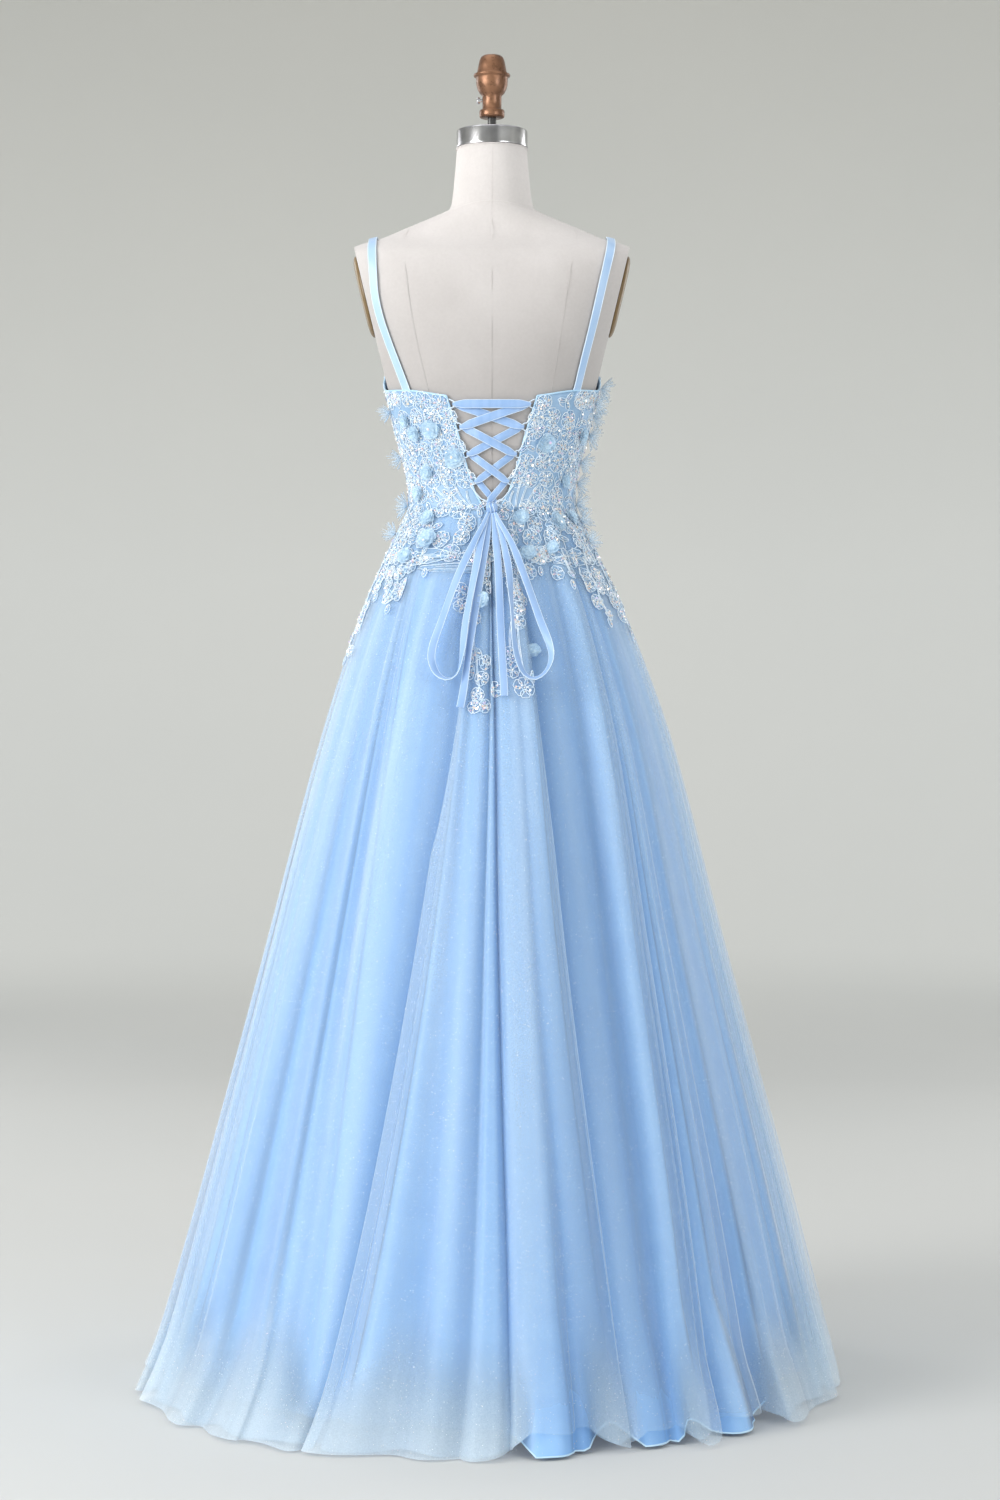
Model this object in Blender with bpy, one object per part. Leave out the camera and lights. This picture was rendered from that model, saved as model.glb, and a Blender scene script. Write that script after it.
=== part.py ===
"""Lace-up ball gown on a limbless dress form.

Metres, +Z up. The origin is the middle of the stand's underside, on the floor. The gown
faces -Y, so its laced back faces +Y and the wearer's left is +X. Angles round the body are
measured from the middle of the back towards +X, in degrees.
"""

import math
from collections import namedtuple

import bmesh
import bpy
import numpy as np
from mathutils import Vector
from mathutils.bvhtree import BVHTree

# ---------------------------------------------------------------- driving dimensions

SEAM_GAP = 0.0003  # between pieces that are sewn or rest on each other

WAIST_Z = 1.180
SHOULDER_Z = 1.553
NECK_TOP_Z = 1.6795

BODICE_INNER = 0.0030  # how far the bodice's inner face stands off the form
BODICE_WALL = 0.0014
LACE_RELIEF = 0.0012  # how far the lace motifs rise from their cloth
MOTIF_PITCH = 0.028  # between neighbouring lace motifs

TULLE_WALL_TOP = 0.0012
TULLE_WALL_HEM = 0.0024
LINING_WALL = 0.0012
LINING_GAP_TOP = 0.0016  # from the tulle's outer face to the lining's
LINING_GAP_HEM = 0.0240
LINING_FOLD_SHARE = 0.63  # the lining's folds are this share of the tulle's
LINING_HEM_Z = 0.012
HEM_SPREAD = 0.042  # how much further the hem lies out at its corners than along its sides
HEM_SPREAD_Z = 0.090  # where that starts
FAN_DEG = 16.0  # how far folds near the middle spread from waist to hem

STRAP_WIDTH = 0.0108
STRAP_WALL = 0.0012
STRAP_OFF_FORM = 0.0028

RIBBON_WIDTH = 0.0105
RIBBON_WALL = 0.0010
LOOP_CORD_RADIUS = 0.0010
LOOP_REACH = 0.0085

STAND_RADIUS = 0.170
STAND_HEIGHT = 0.028
POLE_RADIUS = 0.016
TORSO_BOTTOM_Z = 0.860

CAP_RADIUS = 0.0485
CAP_HEIGHT = 0.0240
ROD_RADIUS = 0.0060

# ---------------------------------------------------------------- tables

Section = namedtuple("Section", "z half_width back front squareness")
Flare = namedtuple("Flare", "z half_width back front sway")
Fold = namedtuple("Fold", "trough_deg depth lean")
Edge = namedtuple("Edge", "deg z")
Gap = namedtuple("Gap", "z half_gap")
Lobe = namedtuple("Lobe", "deg low_z half_width_deg")
Flower = namedtuple("Flower", "name deg z radius")
Turn = namedtuple("Turn", "x z off")

# Level cuts through the form, from its underside to the top of the neck.
BODY = [
    Section(0.860, 0.155, 0.104, 0.086, 2.0),
    Section(0.950, 0.171, 0.118, 0.094, 2.0),
    Section(1.030, 0.163, 0.112, 0.092, 2.0),
    Section(1.110, 0.134, 0.094, 0.085, 2.0),
    Section(1.180, 0.1115, 0.0805, 0.0805, 2.0),
    Section(1.205, 0.109, 0.079, 0.079, 2.0),
    Section(1.240, 0.1140, 0.081, 0.083, 2.05),
    Section(1.282, 0.1255, 0.085, 0.090, 2.15),
    Section(1.340, 0.1395, 0.092, 0.098, 2.3),
    Section(1.400, 0.1600, 0.099, 0.100, 2.4),
    Section(1.450, 0.1820, 0.101, 0.094, 2.5),
    Section(1.500, 0.2000, 0.094, 0.080, 2.5),
    Section(1.530, 0.2080, 0.078, 0.062, 2.5),
    Section(1.544, 0.1880, 0.064, 0.051, 2.4),
    Section(1.5535, 0.1560, 0.056, 0.046, 2.3),
    Section(1.569, 0.1190, 0.051, 0.044, 2.2),
    Section(1.584, 0.0830, 0.050, 0.046, 2.1),
    Section(1.596, 0.0580, 0.050, 0.048, 2.0),
    Section(1.608, 0.0545, 0.050, 0.049, 2.0),
    Section(1.640, 0.0510, 0.0485, 0.0485, 2.0),
    Section(1.6795, 0.0478, 0.0478, 0.0478, 2.0),
]

# The skirt's outer reach, over the ridges of its folds, from waist to hem. It hangs a
# little off the form's middle, by the sway along X.
SKIRT = [
    Flare(1.180, 0.1159, 0.0849, 0.0849, 0.0),
    Flare(1.145, 0.134, 0.101, 0.096, 0.0),
    Flare(1.110, 0.151, 0.117, 0.108, 0.0),
    Flare(1.040, 0.183, 0.145, 0.131, -0.002),
    Flare(0.970, 0.210, 0.171, 0.155, -0.003),
    Flare(0.870, 0.2435, 0.206, 0.190, -0.0045),
    Flare(0.600, 0.316, 0.296, 0.282, -0.003),
    Flare(0.320, 0.392, 0.384, 0.370, -0.003),
    Flare(0.050, 0.466, 0.468, 0.454, 0.001),
    Flare(0.000, 0.481, 0.490, 0.471, 0.006),
]

# One row a fold, from the trough it starts at to the next row's, all the way round.
FOLDS = [
    Fold(-90.0, 0.026, 0.2),
    Fold(-77.0, 0.030, -0.2),
    Fold(-63.0, 0.026, 0.3),
    Fold(-50.6, 0.024, 0.3),
    Fold(-41.0, 0.024, 0.3),
    Fold(-32.6, 0.026, 0.4),
    Fold(-23.8, 0.026, 0.4),
    Fold(-14.8, 0.030, 0.3),
    Fold(-3.4, 0.030, -0.4),
    Fold(13.5, 0.036, 0.4),
    Fold(27.3, 0.034, -0.3),
    Fold(42.4, 0.036, -0.2),
    Fold(59.0, 0.030, -0.3),
    Fold(73.0, 0.028, 0.2),
    Fold(88.0, 0.028, 0.2),
    Fold(102.0, 0.030, -0.3),
    Fold(117.0, 0.028, 0.2),
    Fold(131.0, 0.032, 0.3),
    Fold(146.0, 0.026, -0.3),
    Fold(158.0, 0.028, 0.2),
    Fold(171.0, 0.030, 0.3),
    Fold(184.0, 0.028, -0.3),
    Fold(197.0, 0.026, 0.3),
    Fold(210.0, 0.030, -0.2),
    Fold(224.0, 0.030, 0.3),
    Fold(239.0, 0.032, -0.3),
    Fold(254.0, 0.030, 0.2),
    Fold(270.0, 0.026, 0.2),
]

# The bodice's top edge, from the lacing to the sweetheart dip, alike on both sides.
TOP_EDGE = [
    Edge(0, 1.325),
    Edge(24, 1.333),
    Edge(45, 1.341),
    Edge(82, 1.347),
    Edge(110, 1.374),
    Edge(148, 1.424),
    Edge(167, 1.396),
    Edge(180, 1.380),
]

# Half the opening that the lacing closes, from the waist to the top edge.
LACING_GAP = [
    Gap(1.1800, 0.0100),
    Gap(1.1880, 0.0140),
    Gap(1.2080, 0.0240),
    Gap(1.2430, 0.0347),
    Gap(1.2815, 0.0448),
    Gap(1.3245, 0.0580),
    Gap(1.3450, 0.0645),
]

# Where the lace on the hips reaches down the skirt, sprays and scallops alike.
LACE_LOBES = [
    Lobe(4, 0.912, 6),
    Lobe(-11, 0.930, 6),
    Lobe(20, 1.060, 9),
    Lobe(34, 1.100, 8),
    Lobe(52, 1.045, 11),
    Lobe(78, 1.000, 8),
    Lobe(100, 1.060, 10),
    Lobe(122, 1.010, 9),
    Lobe(143, 1.070, 10),
    Lobe(164, 0.960, 8),
    Lobe(184, 1.060, 10),
    Lobe(205, 1.000, 9),
    Lobe(228, 1.060, 10),
    Lobe(248, 1.020, 9),
    Lobe(-92, 1.060, 9),
    Lobe(-74, 1.030, 8),
    Lobe(-50, 0.998, 6),
    Lobe(-42, 1.075, 9),
    Lobe(-28, 1.095, 7),
]
LACE_EDGE_Z = 1.120  # between the lobes

# The largest of the tulle flowers, by the angle and height of their middles.
FLOWERS = [
    Flower("flower_back_1", 36, 1.288, 0.015),
    Flower("flower_back_2", 24, 1.250, 0.015),
    Flower("flower_back_3", 38, 1.140, 0.017),
    Flower("flower_back_4", -34, 1.270, 0.015),
    Flower("flower_back_5", -44, 1.165, 0.016),
    Flower("flower_side_left", 88, 1.190, 0.018),
    Flower("flower_side_right_1", -88, 1.287, 0.017),
    Flower("flower_side_right_2", -86, 1.192, 0.018),
    Flower("flower_front_1", 128, 1.300, 0.016),
    Flower("flower_front_2", 160, 1.230, 0.016),
    Flower("flower_front_3", 202, 1.236, 0.016),
    Flower("flower_front_4", 226, 1.330, 0.016),
    Flower("flower_front_5", 206, 1.150, 0.017),
]

# The free ribbon: one row a turn, from the knot outwards, off the skirt's outer reach.
BOW_LEFT = [
    Turn(0.0045, 1.1757, 0.0084), Turn(0.0110, 1.1600, 0.0122), Turn(0.0260, 1.1300, 0.0140),
    Turn(0.0460, 1.0860, 0.0145), Turn(0.0660, 1.0300, 0.0140), Turn(0.0770, 0.9980, 0.0130),
    Turn(0.0790, 0.9780, 0.0125), Turn(0.0720, 0.9600, 0.0120), Turn(0.0580, 0.9520, 0.0118),
    Turn(0.0450, 0.9600, 0.0116), Turn(0.0390, 0.9860, 0.0116), Turn(0.0340, 1.0300, 0.0114),
    Turn(0.0240, 1.0850, 0.0110), Turn(0.0155, 1.1300, 0.0104), Turn(0.0085, 1.1600, 0.0086),
    Turn(0.0045, 1.1757, 0.0057),
]
BOW_RIGHT = [
    Turn(-0.0045, 1.1757, 0.0084), Turn(-0.0120, 1.1600, 0.0122),
    Turn(-0.0280, 1.1300, 0.0140), Turn(-0.0460, 1.0820, 0.0145),
    Turn(-0.0640, 1.0300, 0.0140), Turn(-0.0760, 0.9980, 0.0130),
    Turn(-0.0780, 0.9780, 0.0125), Turn(-0.0690, 0.9600, 0.0120),
    Turn(-0.0540, 0.9530, 0.0118), Turn(-0.0400, 0.9640, 0.0116),
    Turn(-0.0310, 0.9960, 0.0116), Turn(-0.0265, 1.0500, 0.0114),
    Turn(-0.0230, 1.0950, 0.0110), Turn(-0.0165, 1.1300, 0.0104),
    Turn(-0.0090, 1.1600, 0.0086), Turn(-0.0045, 1.1757, 0.0057),
]
TAIL_LEFT = [
    Turn(0.00135, 1.1756, 0.0069), Turn(0.0050, 1.1500, 0.0060), Turn(0.0115, 1.1100, 0.0055),
    Turn(0.0270, 1.0100, 0.0055), Turn(0.0365, 0.9400, 0.0055), Turn(0.0410, 0.9150, 0.0055),
]
TAIL_RIGHT = [
    Turn(-0.00135, 1.1756, 0.0069), Turn(-0.0040, 1.1500, 0.0060),
    Turn(-0.0085, 1.1050, 0.0055), Turn(-0.0115, 1.0300, 0.0055),
    Turn(-0.0160, 0.9450, 0.0055), Turn(-0.0165, 0.9300, 0.0055),
]

LOOP_HEIGHTS = [1.321, 1.291, 1.255, 1.219, 1.189]  # the lacing loops, top to bottom

COLOURS = {  # material: (red, green, blue), roughness, metallic
    "tulle": ((0.55, 0.77, 0.93), 0.55, 0.0),
    "satin": ((0.42, 0.66, 0.90), 0.35, 0.0),
    "lace": ((0.66, 0.82, 0.95), 0.50, 0.0),
    "ribbon": ((0.50, 0.70, 0.92), 0.35, 0.0),
    "linen": ((0.74, 0.70, 0.65), 0.85, 0.0),
    "steel": ((0.62, 0.63, 0.65), 0.25, 1.0),
    "bronze": ((0.42, 0.22, 0.12), 0.40, 0.8),
    "black_steel": ((0.03, 0.03, 0.03), 0.45, 0.6),
    "wood": ((0.30, 0.21, 0.11), 0.50, 0.0),
}


# ---------------------------------------------------------------- helpers


class Curve:
    """A smooth curve through a table's points that never overshoots them."""

    def __init__(self, rows, along, value):
        pairs = sorted((getattr(row, along), getattr(row, value)) for row in rows)
        self.at, self.values = np.array(pairs, float).T
        steps = np.diff(self.at)
        rises = np.diff(self.values) / steps
        self.slopes = np.zeros(len(self.at))
        self.slopes[0] = rises[0]
        self.slopes[-1] = rises[-1]
        for i in range(1, len(rises)):
            before, after = rises[i - 1], rises[i]
            if before * after > 0:
                self.slopes[i] = 2 * before * after / (before + after)

    def __call__(self, x):
        x = min(max(x, self.at[0]), self.at[-1])
        i = min(int(np.searchsorted(self.at, x, side="right")) - 1, len(self.at) - 2)
        step = self.at[i + 1] - self.at[i]
        t = (x - self.at[i]) / step
        start, end = self.values[i], self.values[i + 1]
        leave, arrive = self.slopes[i] * step, self.slopes[i + 1] * step
        return float(
            (1 + 2 * t) * (1 - t) ** 2 * start
            + t * (1 - t) ** 2 * leave
            + t * t * (3 - 2 * t) * end
            + t * t * (t - 1) * arrive
        )


def lerp(a, b, t):
    return a + (b - a) * t


def material(name):
    """The named material, made the first time it is asked for."""
    found = bpy.data.materials.get(name)
    if found:
        return found
    colour, roughness, metallic = COLOURS[name]
    made = bpy.data.materials.new(name)
    made.use_nodes = True
    shader = made.node_tree.nodes["Principled BSDF"]
    shader.inputs["Base Color"].default_value = (*colour, 1)
    shader.inputs["Roughness"].default_value = roughness
    shader.inputs["Metallic"].default_value = metallic
    return made


def place(name, data, material_name):
    """Links new object data to the scene under that name and material."""
    made = bpy.data.objects.new(name, data)
    data.materials.append(material(material_name))
    bpy.context.scene.collection.objects.link(made)
    return made


def place_bmesh(name, bm, material_name, smooth=True):
    """Turns a bmesh into a named object with its faces pointing out."""
    bmesh.ops.recalc_face_normals(bm, faces=bm.faces)
    mesh = bpy.data.meshes.new(name)
    bm.to_mesh(mesh)
    bm.free()
    if smooth:
        mesh.shade_smooth()
        mesh.set_sharp_from_angle(angle=math.radians(50))
    return place(name, mesh, material_name)


def wall(name, outer, inner, material_name):
    """A wall of cloth between two grids of points with the same rows and columns."""
    bm = bmesh.new()
    faces = [[[bm.verts.new(p) for p in row] for row in grid] for grid in (outer, inner)]
    rows, columns = len(outer), len(outer[0])
    for face in faces:
        for i in range(rows - 1):
            for j in range(columns - 1):
                bm.faces.new(
                    (face[i][j], face[i][j + 1], face[i + 1][j + 1], face[i + 1][j])
                )
    rim = [(0, j) for j in range(columns)]
    rim += [(i, columns - 1) for i in range(1, rows)]
    rim += [(rows - 1, j) for j in range(columns - 2, -1, -1)]
    rim += [(i, 0) for i in range(rows - 2, 0, -1)]
    out, back = faces
    for (i, j), (k, m) in zip(rim, rim[1:] + rim[:1]):
        bm.faces.new((out[i][j], out[k][m], back[k][m], back[i][j]))
    return place_bmesh(name, bm, material_name)


def turned(name, profile, segments, material_name):
    """A solid turned about Z, from (radius, z) points that run down its outer side."""
    mesh = bpy.data.meshes.new(name)
    edges = [(i, i + 1) for i in range(len(profile) - 1)]
    mesh.from_pydata([(radius, 0, z) for radius, z in profile], edges, [])
    made = place(name, mesh, material_name)
    screw = made.modifiers.new("Turn", "SCREW")
    screw.steps = screw.render_steps = segments
    screw.use_merge_vertices = True
    screw.merge_threshold = 0.0001
    screw.use_smooth_shade = False
    return made


def smooth_path(points, count):
    """Evenly spaced points on a smooth curve through the given ones."""
    points = [Vector(p) for p in points]
    ends = [points[0] * 2 - points[1]] + points + [points[-1] * 2 - points[-2]]
    fine = []
    for i in range(len(points) - 1):
        a, b, c, d = ends[i : i + 4]
        for k in range(12):
            t = k / 12
            fine.append(
                0.5 * (2 * b + (c - a) * t + (2 * a - 5 * b + 4 * c - d) * t**2
                       + (3 * b - 3 * c + d - a) * t**3)
            )
    fine.append(points[-1])
    along = np.concatenate([[0], np.cumsum([(q - p).length for p, q in zip(fine, fine[1:])])])
    wanted = np.linspace(0, along[-1], count)
    columns = [np.interp(wanted, along, [p[k] for p in fine]) for k in range(3)]
    return [Vector(p) for p in zip(*columns)]


def tapered(full, end, both_ends=True):
    """The width of a band along it: narrow where it leaves a knot or loop, then full."""

    def width_at(share):
        from_end = min(share, 1 - share) if both_ends else share
        return lerp(full, end, max(0.0, 1 - 5 * from_end))

    return width_at


def ribbon(name, path, outward, width_at, thickness, material_name):
    """A flat band along a path; outward gives the way its face looks at each point."""
    bm = bmesh.new()
    rings = []
    for i, point in enumerate(path):
        ahead = path[min(i + 1, len(path) - 1)] - path[max(i - 1, 0)]
        normal = outward(point).normalized()
        side = normal.cross(ahead).normalized() * width_at(i / (len(path) - 1)) / 2
        lift = ahead.cross(side).normalized() * thickness / 2
        if lift.dot(normal) < 0:
            lift = -lift
        corners = (side + lift, side - lift, -side - lift, -side + lift)
        rings.append([bm.verts.new(point + c) for c in corners])
    for a, b in zip(rings, rings[1:]):
        for k in range(4):
            bm.faces.new((a[k], a[(k + 1) % 4], b[(k + 1) % 4], b[k]))
    bm.faces.new(rings[0])
    bm.faces.new(reversed(rings[-1]))
    return place_bmesh(name, bm, material_name, smooth=False)


def surface_trees(prefixes):
    """Search trees of the placed pieces whose names start with one of the prefixes."""
    trees = []
    for item in bpy.data.objects:
        if item.name.startswith(prefixes):
            points = [vert.co for vert in item.data.vertices]
            faces = [tuple(face.vertices) for face in item.data.polygons]
            trees.append(BVHTree.FromPolygons(points, faces))
    return trees


def seating(points, out, trees):
    """How far to move the points along out, so that they rest just clear of the trees."""
    reach = 0.03
    shifts = []
    for point in points:
        for tree in trees:
            hit = tree.ray_cast(point + out * reach, -out, 2 * reach)[0]
            if hit is not None:
                shifts.append((hit - point).dot(out))
    return max(shifts) + SEAM_GAP if shifts else 0.0


# ---------------------------------------------------------------- the form's shape

BODY_CURVES = {
    column: Curve(BODY, "z", column)
    for column in ("half_width", "back", "front", "squareness")
}
BUST_X, BUST_Z = 0.074, 1.325
BUST_SPREAD_X, BUST_SPREAD_Z = 0.046, 0.052
BUST_FULLNESS = 0.030
CUP_BRIDGING = 25.0  # cloth that stands off the form is this much fuller a metre


def bust(x, z):
    """How far the bust stands forward of the plain section."""
    across = (abs(x) - BUST_X) / BUST_SPREAD_X
    down = (z - BUST_Z) / BUST_SPREAD_Z
    return BUST_FULLNESS * math.exp(-across * across - down * down)


def body_point(deg, z, off=0.0):
    """The point on the form at that angle and height, moved out by off."""
    half_width = BODY_CURVES["half_width"](z) + off
    power = 2 / BODY_CURVES["squareness"](z)
    sine, cosine = math.sin(math.radians(deg)), math.cos(math.radians(deg))
    depth = BODY_CURVES["back" if cosine > 0 else "front"](z) + off
    x = half_width * math.copysign(abs(sine) ** power, sine)
    y = depth * math.copysign(abs(cosine) ** power, cosine)
    if cosine < 0:
        y -= bust(x, z) * min(1.0, -3 * cosine) * (1 + CUP_BRIDGING * off)
    return Vector((x, y, z))


def back_point(x, z, off):
    """The point of the form's back at that x and height, moved out by off."""
    half_width = BODY_CURVES["half_width"](z) + off
    squareness = BODY_CURVES["squareness"](z)
    depth = BODY_CURVES["back"](z) + off
    y = depth * (1 - abs(x / half_width) ** squareness) ** (1 / squareness)
    return Vector((x, y, z))


def body_outward(point):
    """The level way that the form's surface faces near a point."""
    half_width = BODY_CURVES["half_width"](point.z)
    depth = BODY_CURVES["back" if point.y > 0 else "front"](point.z)
    power = BODY_CURVES["squareness"](point.z) - 1
    across = math.copysign(abs(point.x / half_width) ** power, point.x) / half_width
    along = math.copysign(abs(point.y / depth) ** power, point.y) / depth
    return Vector((across, along, 0))


def facing(surface, deg, z):
    """The way that a surface of angle and height faces."""
    across = surface(deg + 2, z) - surface(deg - 2, z)
    up = surface(deg, z + 0.004) - surface(deg, z - 0.004)
    normal = across.cross(up).normalized()
    return normal if normal.dot(surface(deg, z) * Vector((1, 1, 0))) > 0 else -normal


# ---------------------------------------------------------------- the dress form

ARMHOLE_TOP = Vector((0.1875, 0, 1.541))  # a point of the flat cut at each shoulder's end
ARMHOLE_TILT = math.radians(13.4)
ARMHOLE_NORMAL = Vector((math.cos(ARMHOLE_TILT), 0, -math.sin(ARMHOLE_TILT)))
PLATE_CENTRE_Z = 1.477
PLATE_HALF_HEIGHT = 0.056
PLATE_HALF_DEPTH = 0.044
PLATE_THICKNESS = 0.007
PLATE_POINTS = 16
TORSO_SEGMENTS = 32
TORSO_HEIGHTS = [
    0.860, 0.950, 1.040, 1.110, 1.150, 1.180, 1.205, 1.235, 1.270, 1.305, 1.340, 1.372,
    1.405, 1.440, 1.475, 1.505, 1.530, 1.544, 1.5535, 1.561, 1.569, 1.584, 1.596, 1.608,
    1.6795,
]


def build_torso():
    """The padded torso and neck, with a flat cut at the end of each shoulder."""
    bm = bmesh.new()
    rings = []
    for z in TORSO_HEIGHTS:
        angles = [360 * k / TORSO_SEGMENTS for k in range(TORSO_SEGMENTS)]
        rings.append([bm.verts.new(body_point(deg, z)) for deg in angles])
    for low, high in zip(rings, rings[1:]):
        for k in range(TORSO_SEGMENTS):
            after = (k + 1) % TORSO_SEGMENTS
            bm.faces.new((low[k], low[after], high[after], high[k]))
    bm.faces.new(rings[0])
    bm.faces.new(rings[-1])
    for side in (1, -1):
        point = Vector((side * ARMHOLE_TOP.x, 0, ARMHOLE_TOP.z))
        normal = Vector((side * ARMHOLE_NORMAL.x, 0, ARMHOLE_NORMAL.z))
        everything = list(bm.verts) + list(bm.edges) + list(bm.faces)
        bmesh.ops.bisect_plane(
            bm, geom=everything, dist=1e-6, plane_co=point, plane_no=normal, clear_outer=True
        )
        bmesh.ops.holes_fill(bm, edges=[e for e in bm.edges if e.is_boundary], sides=0)
    return place_bmesh("form_torso", bm, "linen")


def build_armhole_plates():
    """A shallow oval plate on each shoulder's flat end."""
    for side, name in ((1, "form_armhole_plate_left"), (-1, "form_armhole_plate_right")):
        out = Vector((side * ARMHOLE_NORMAL.x, 0, ARMHOLE_NORMAL.z))
        up = Vector((side * math.sin(ARMHOLE_TILT), 0, math.cos(ARMHOLE_TILT)))
        drop = (ARMHOLE_TOP.z - PLATE_CENTRE_Z) / math.cos(ARMHOLE_TILT)
        centre = Vector((side * ARMHOLE_TOP.x, 0, ARMHOLE_TOP.z)) - up * drop
        bm = bmesh.new()
        rings = []
        for share, height in ((1.0, SEAM_GAP), (1.0, 0.0030), (0.80, PLATE_THICKNESS)):
            ring = []
            for k in range(PLATE_POINTS):
                turn = 2 * math.pi * k / PLATE_POINTS
                along_y = Vector((0, PLATE_HALF_DEPTH * share * math.cos(turn), 0))
                along_up = up * PLATE_HALF_HEIGHT * share * math.sin(turn)
                ring.append(bm.verts.new(centre + along_y + along_up + out * height))
            rings.append(ring)
        for a, b in zip(rings, rings[1:]):
            for k in range(PLATE_POINTS):
                after = (k + 1) % PLATE_POINTS
                bm.faces.new((a[k], a[after], b[after], b[k]))
        bm.faces.new(rings[0])
        bm.faces.new(rings[-1])
        place_bmesh(name, bm, "wood")


def build_neck_fittings():
    """The steel cap on the neck, and the rod, finial and clamp screw above it."""
    cap_low = NECK_TOP_Z + SEAM_GAP
    cap_high = cap_low + CAP_HEIGHT
    chamfer = 0.0015
    turned(
        "form_neck_cap",
        [
            (0, cap_high),
            (CAP_RADIUS - chamfer, cap_high),
            (CAP_RADIUS, cap_high - chamfer),
            (CAP_RADIUS, cap_low),
            (0, cap_low),
        ],
        32,
        "steel",
    )
    rod_low = cap_high + SEAM_GAP
    rod_high = rod_low + 0.0170
    turned(
        "form_rod",
        [(0, rod_high), (ROD_RADIUS, rod_high), (ROD_RADIUS, rod_low), (0, rod_low)],
        16,
        "black_steel",
    )
    foot = rod_high + SEAM_GAP
    finial = [  # (radius, height over the finial's foot)
        (0.0000, 0.0860), (0.0110, 0.0850), (0.0165, 0.0800), (0.0185, 0.0710),
        (0.0205, 0.0600), (0.0250, 0.0585), (0.0250, 0.0560), (0.0218, 0.0540),
        (0.0212, 0.0440), (0.0165, 0.0330), (0.0130, 0.0300), (0.0130, 0.0115),
        (0.0170, 0.0095), (0.0170, 0.0015), (0.0150, 0.0000), (0.0000, 0.0000),
    ]
    turned("form_finial", [(r, foot + h) for r, h in finial], 16, "bronze")
    screw = turned(
        "form_clamp_screw",
        [
            (0, 0.0080), (0.0042, 0.0075), (0.0048, 0.0060), (0.0044, 0.0030),
            (0.0020, 0.0025), (0.0020, 0.0000), (0, 0.0000),
        ],
        12,
        "steel",
    )
    screw.rotation_euler = (0, math.pi / 2, 0)
    screw.location = (0.0130 + SEAM_GAP, 0, foot + 0.0235)


def build_stand():
    """The pole and round foot under the skirt."""
    turned(
        "form_pole",
        [
            (0, TORSO_BOTTOM_Z - SEAM_GAP),
            (POLE_RADIUS, TORSO_BOTTOM_Z - SEAM_GAP),
            (POLE_RADIUS, STAND_HEIGHT + SEAM_GAP),
            (0, STAND_HEIGHT + SEAM_GAP),
        ],
        12,
        "black_steel",
    )
    turned(
        "form_base",
        [
            (0, STAND_HEIGHT),
            (0.045, STAND_HEIGHT),
            (STAND_RADIUS - 0.012, 0.016),
            (STAND_RADIUS, 0.010),
            (STAND_RADIUS, 0),
            (0, 0),
        ],
        32,
        "black_steel",
    )


# ---------------------------------------------------------------- lace

PETALS = 5


def lace_relief(along, z):
    """How far lace motifs, set out brick fashion, rise at that place on a cloth."""
    row = round(z / MOTIF_PITCH)
    shift = 0.5 * (row % 2)
    column = round(along / MOTIF_PITCH - shift)
    across = along - (column + shift) * MOTIF_PITCH
    up = z - row * MOTIF_PITCH
    turn = math.atan2(up, across) + column + 2 * row
    edge = MOTIF_PITCH * 0.5 * (0.82 + 0.18 * math.cos(PETALS * turn))
    nearness = 1 - math.hypot(across, up) / edge
    return LACE_RELIEF * max(0.0, min(1.0, 2.5 * nearness))


# ---------------------------------------------------------------- the bodice

top_edge = Curve(TOP_EDGE, "deg", "z")
lacing_gap = Curve(LACING_GAP, "z", "half_gap")


def top_z(deg):
    """The height of the bodice's top edge at an angle."""
    return top_edge(abs((deg + 180) % 360 - 180))


def lacing_deg(z):
    """The angle of the lacing edge at a height."""
    off = BODICE_INNER
    half_width = BODY_CURVES["half_width"](z) + off
    share = lacing_gap(z) / half_width
    return math.degrees(math.asin(share ** (BODY_CURVES["squareness"](z) / 2)))


def build_bodice_panel(name, start, end, columns, rows=9):
    """One panel between two seams; start and end give their angles at a height."""
    outer, inner = [], []
    bottom = WAIST_Z + SEAM_GAP
    half_seam = SEAM_GAP / 2
    for i in range(rows):
        outer_row, inner_row = [], []
        for j in range(columns):
            share = j / (columns - 1)
            top = top_z(lerp(start(1.34), end(1.34), share))
            z = lerp(bottom, top, i / (rows - 1))
            deg = lerp(start(z), end(z), share)
            radius = body_point(deg, z).xy.length
            nudge = math.degrees(half_seam / radius) * (1 - 2 * share)
            deg += nudge
            inside = body_point(deg, z, BODICE_INNER)
            on_edge = j in (0, columns - 1) or i in (0, rows - 1)
            relief = 0 if on_edge else lace_relief(math.radians(deg) * radius, z)
            outside = body_point(deg, z, BODICE_INNER + BODICE_WALL + relief)
            inner_row.append(inside)
            outer_row.append(outside)
        outer.append(outer_row)
        inner.append(inner_row)
    return wall(name, outer, inner, "lace")


def build_bodice():
    """Seven panels, with the back open between its two lacing edges."""
    def seam(deg):
        return lambda z: deg

    build_bodice_panel("bodice_back_left", lacing_deg, seam(50), 7)
    build_bodice_panel("bodice_side_left", seam(50), seam(100), 9)
    build_bodice_panel("bodice_front_left", seam(100), seam(152), 9)
    build_bodice_panel("bodice_front_centre", seam(152), seam(208), 9)
    build_bodice_panel("bodice_front_right", seam(208), seam(260), 9)
    build_bodice_panel("bodice_side_right", seam(260), seam(310), 9)
    build_bodice_panel("bodice_back_right", seam(310), lambda z: 360 - lacing_deg(z), 7)


# ---------------------------------------------------------------- the straps

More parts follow.
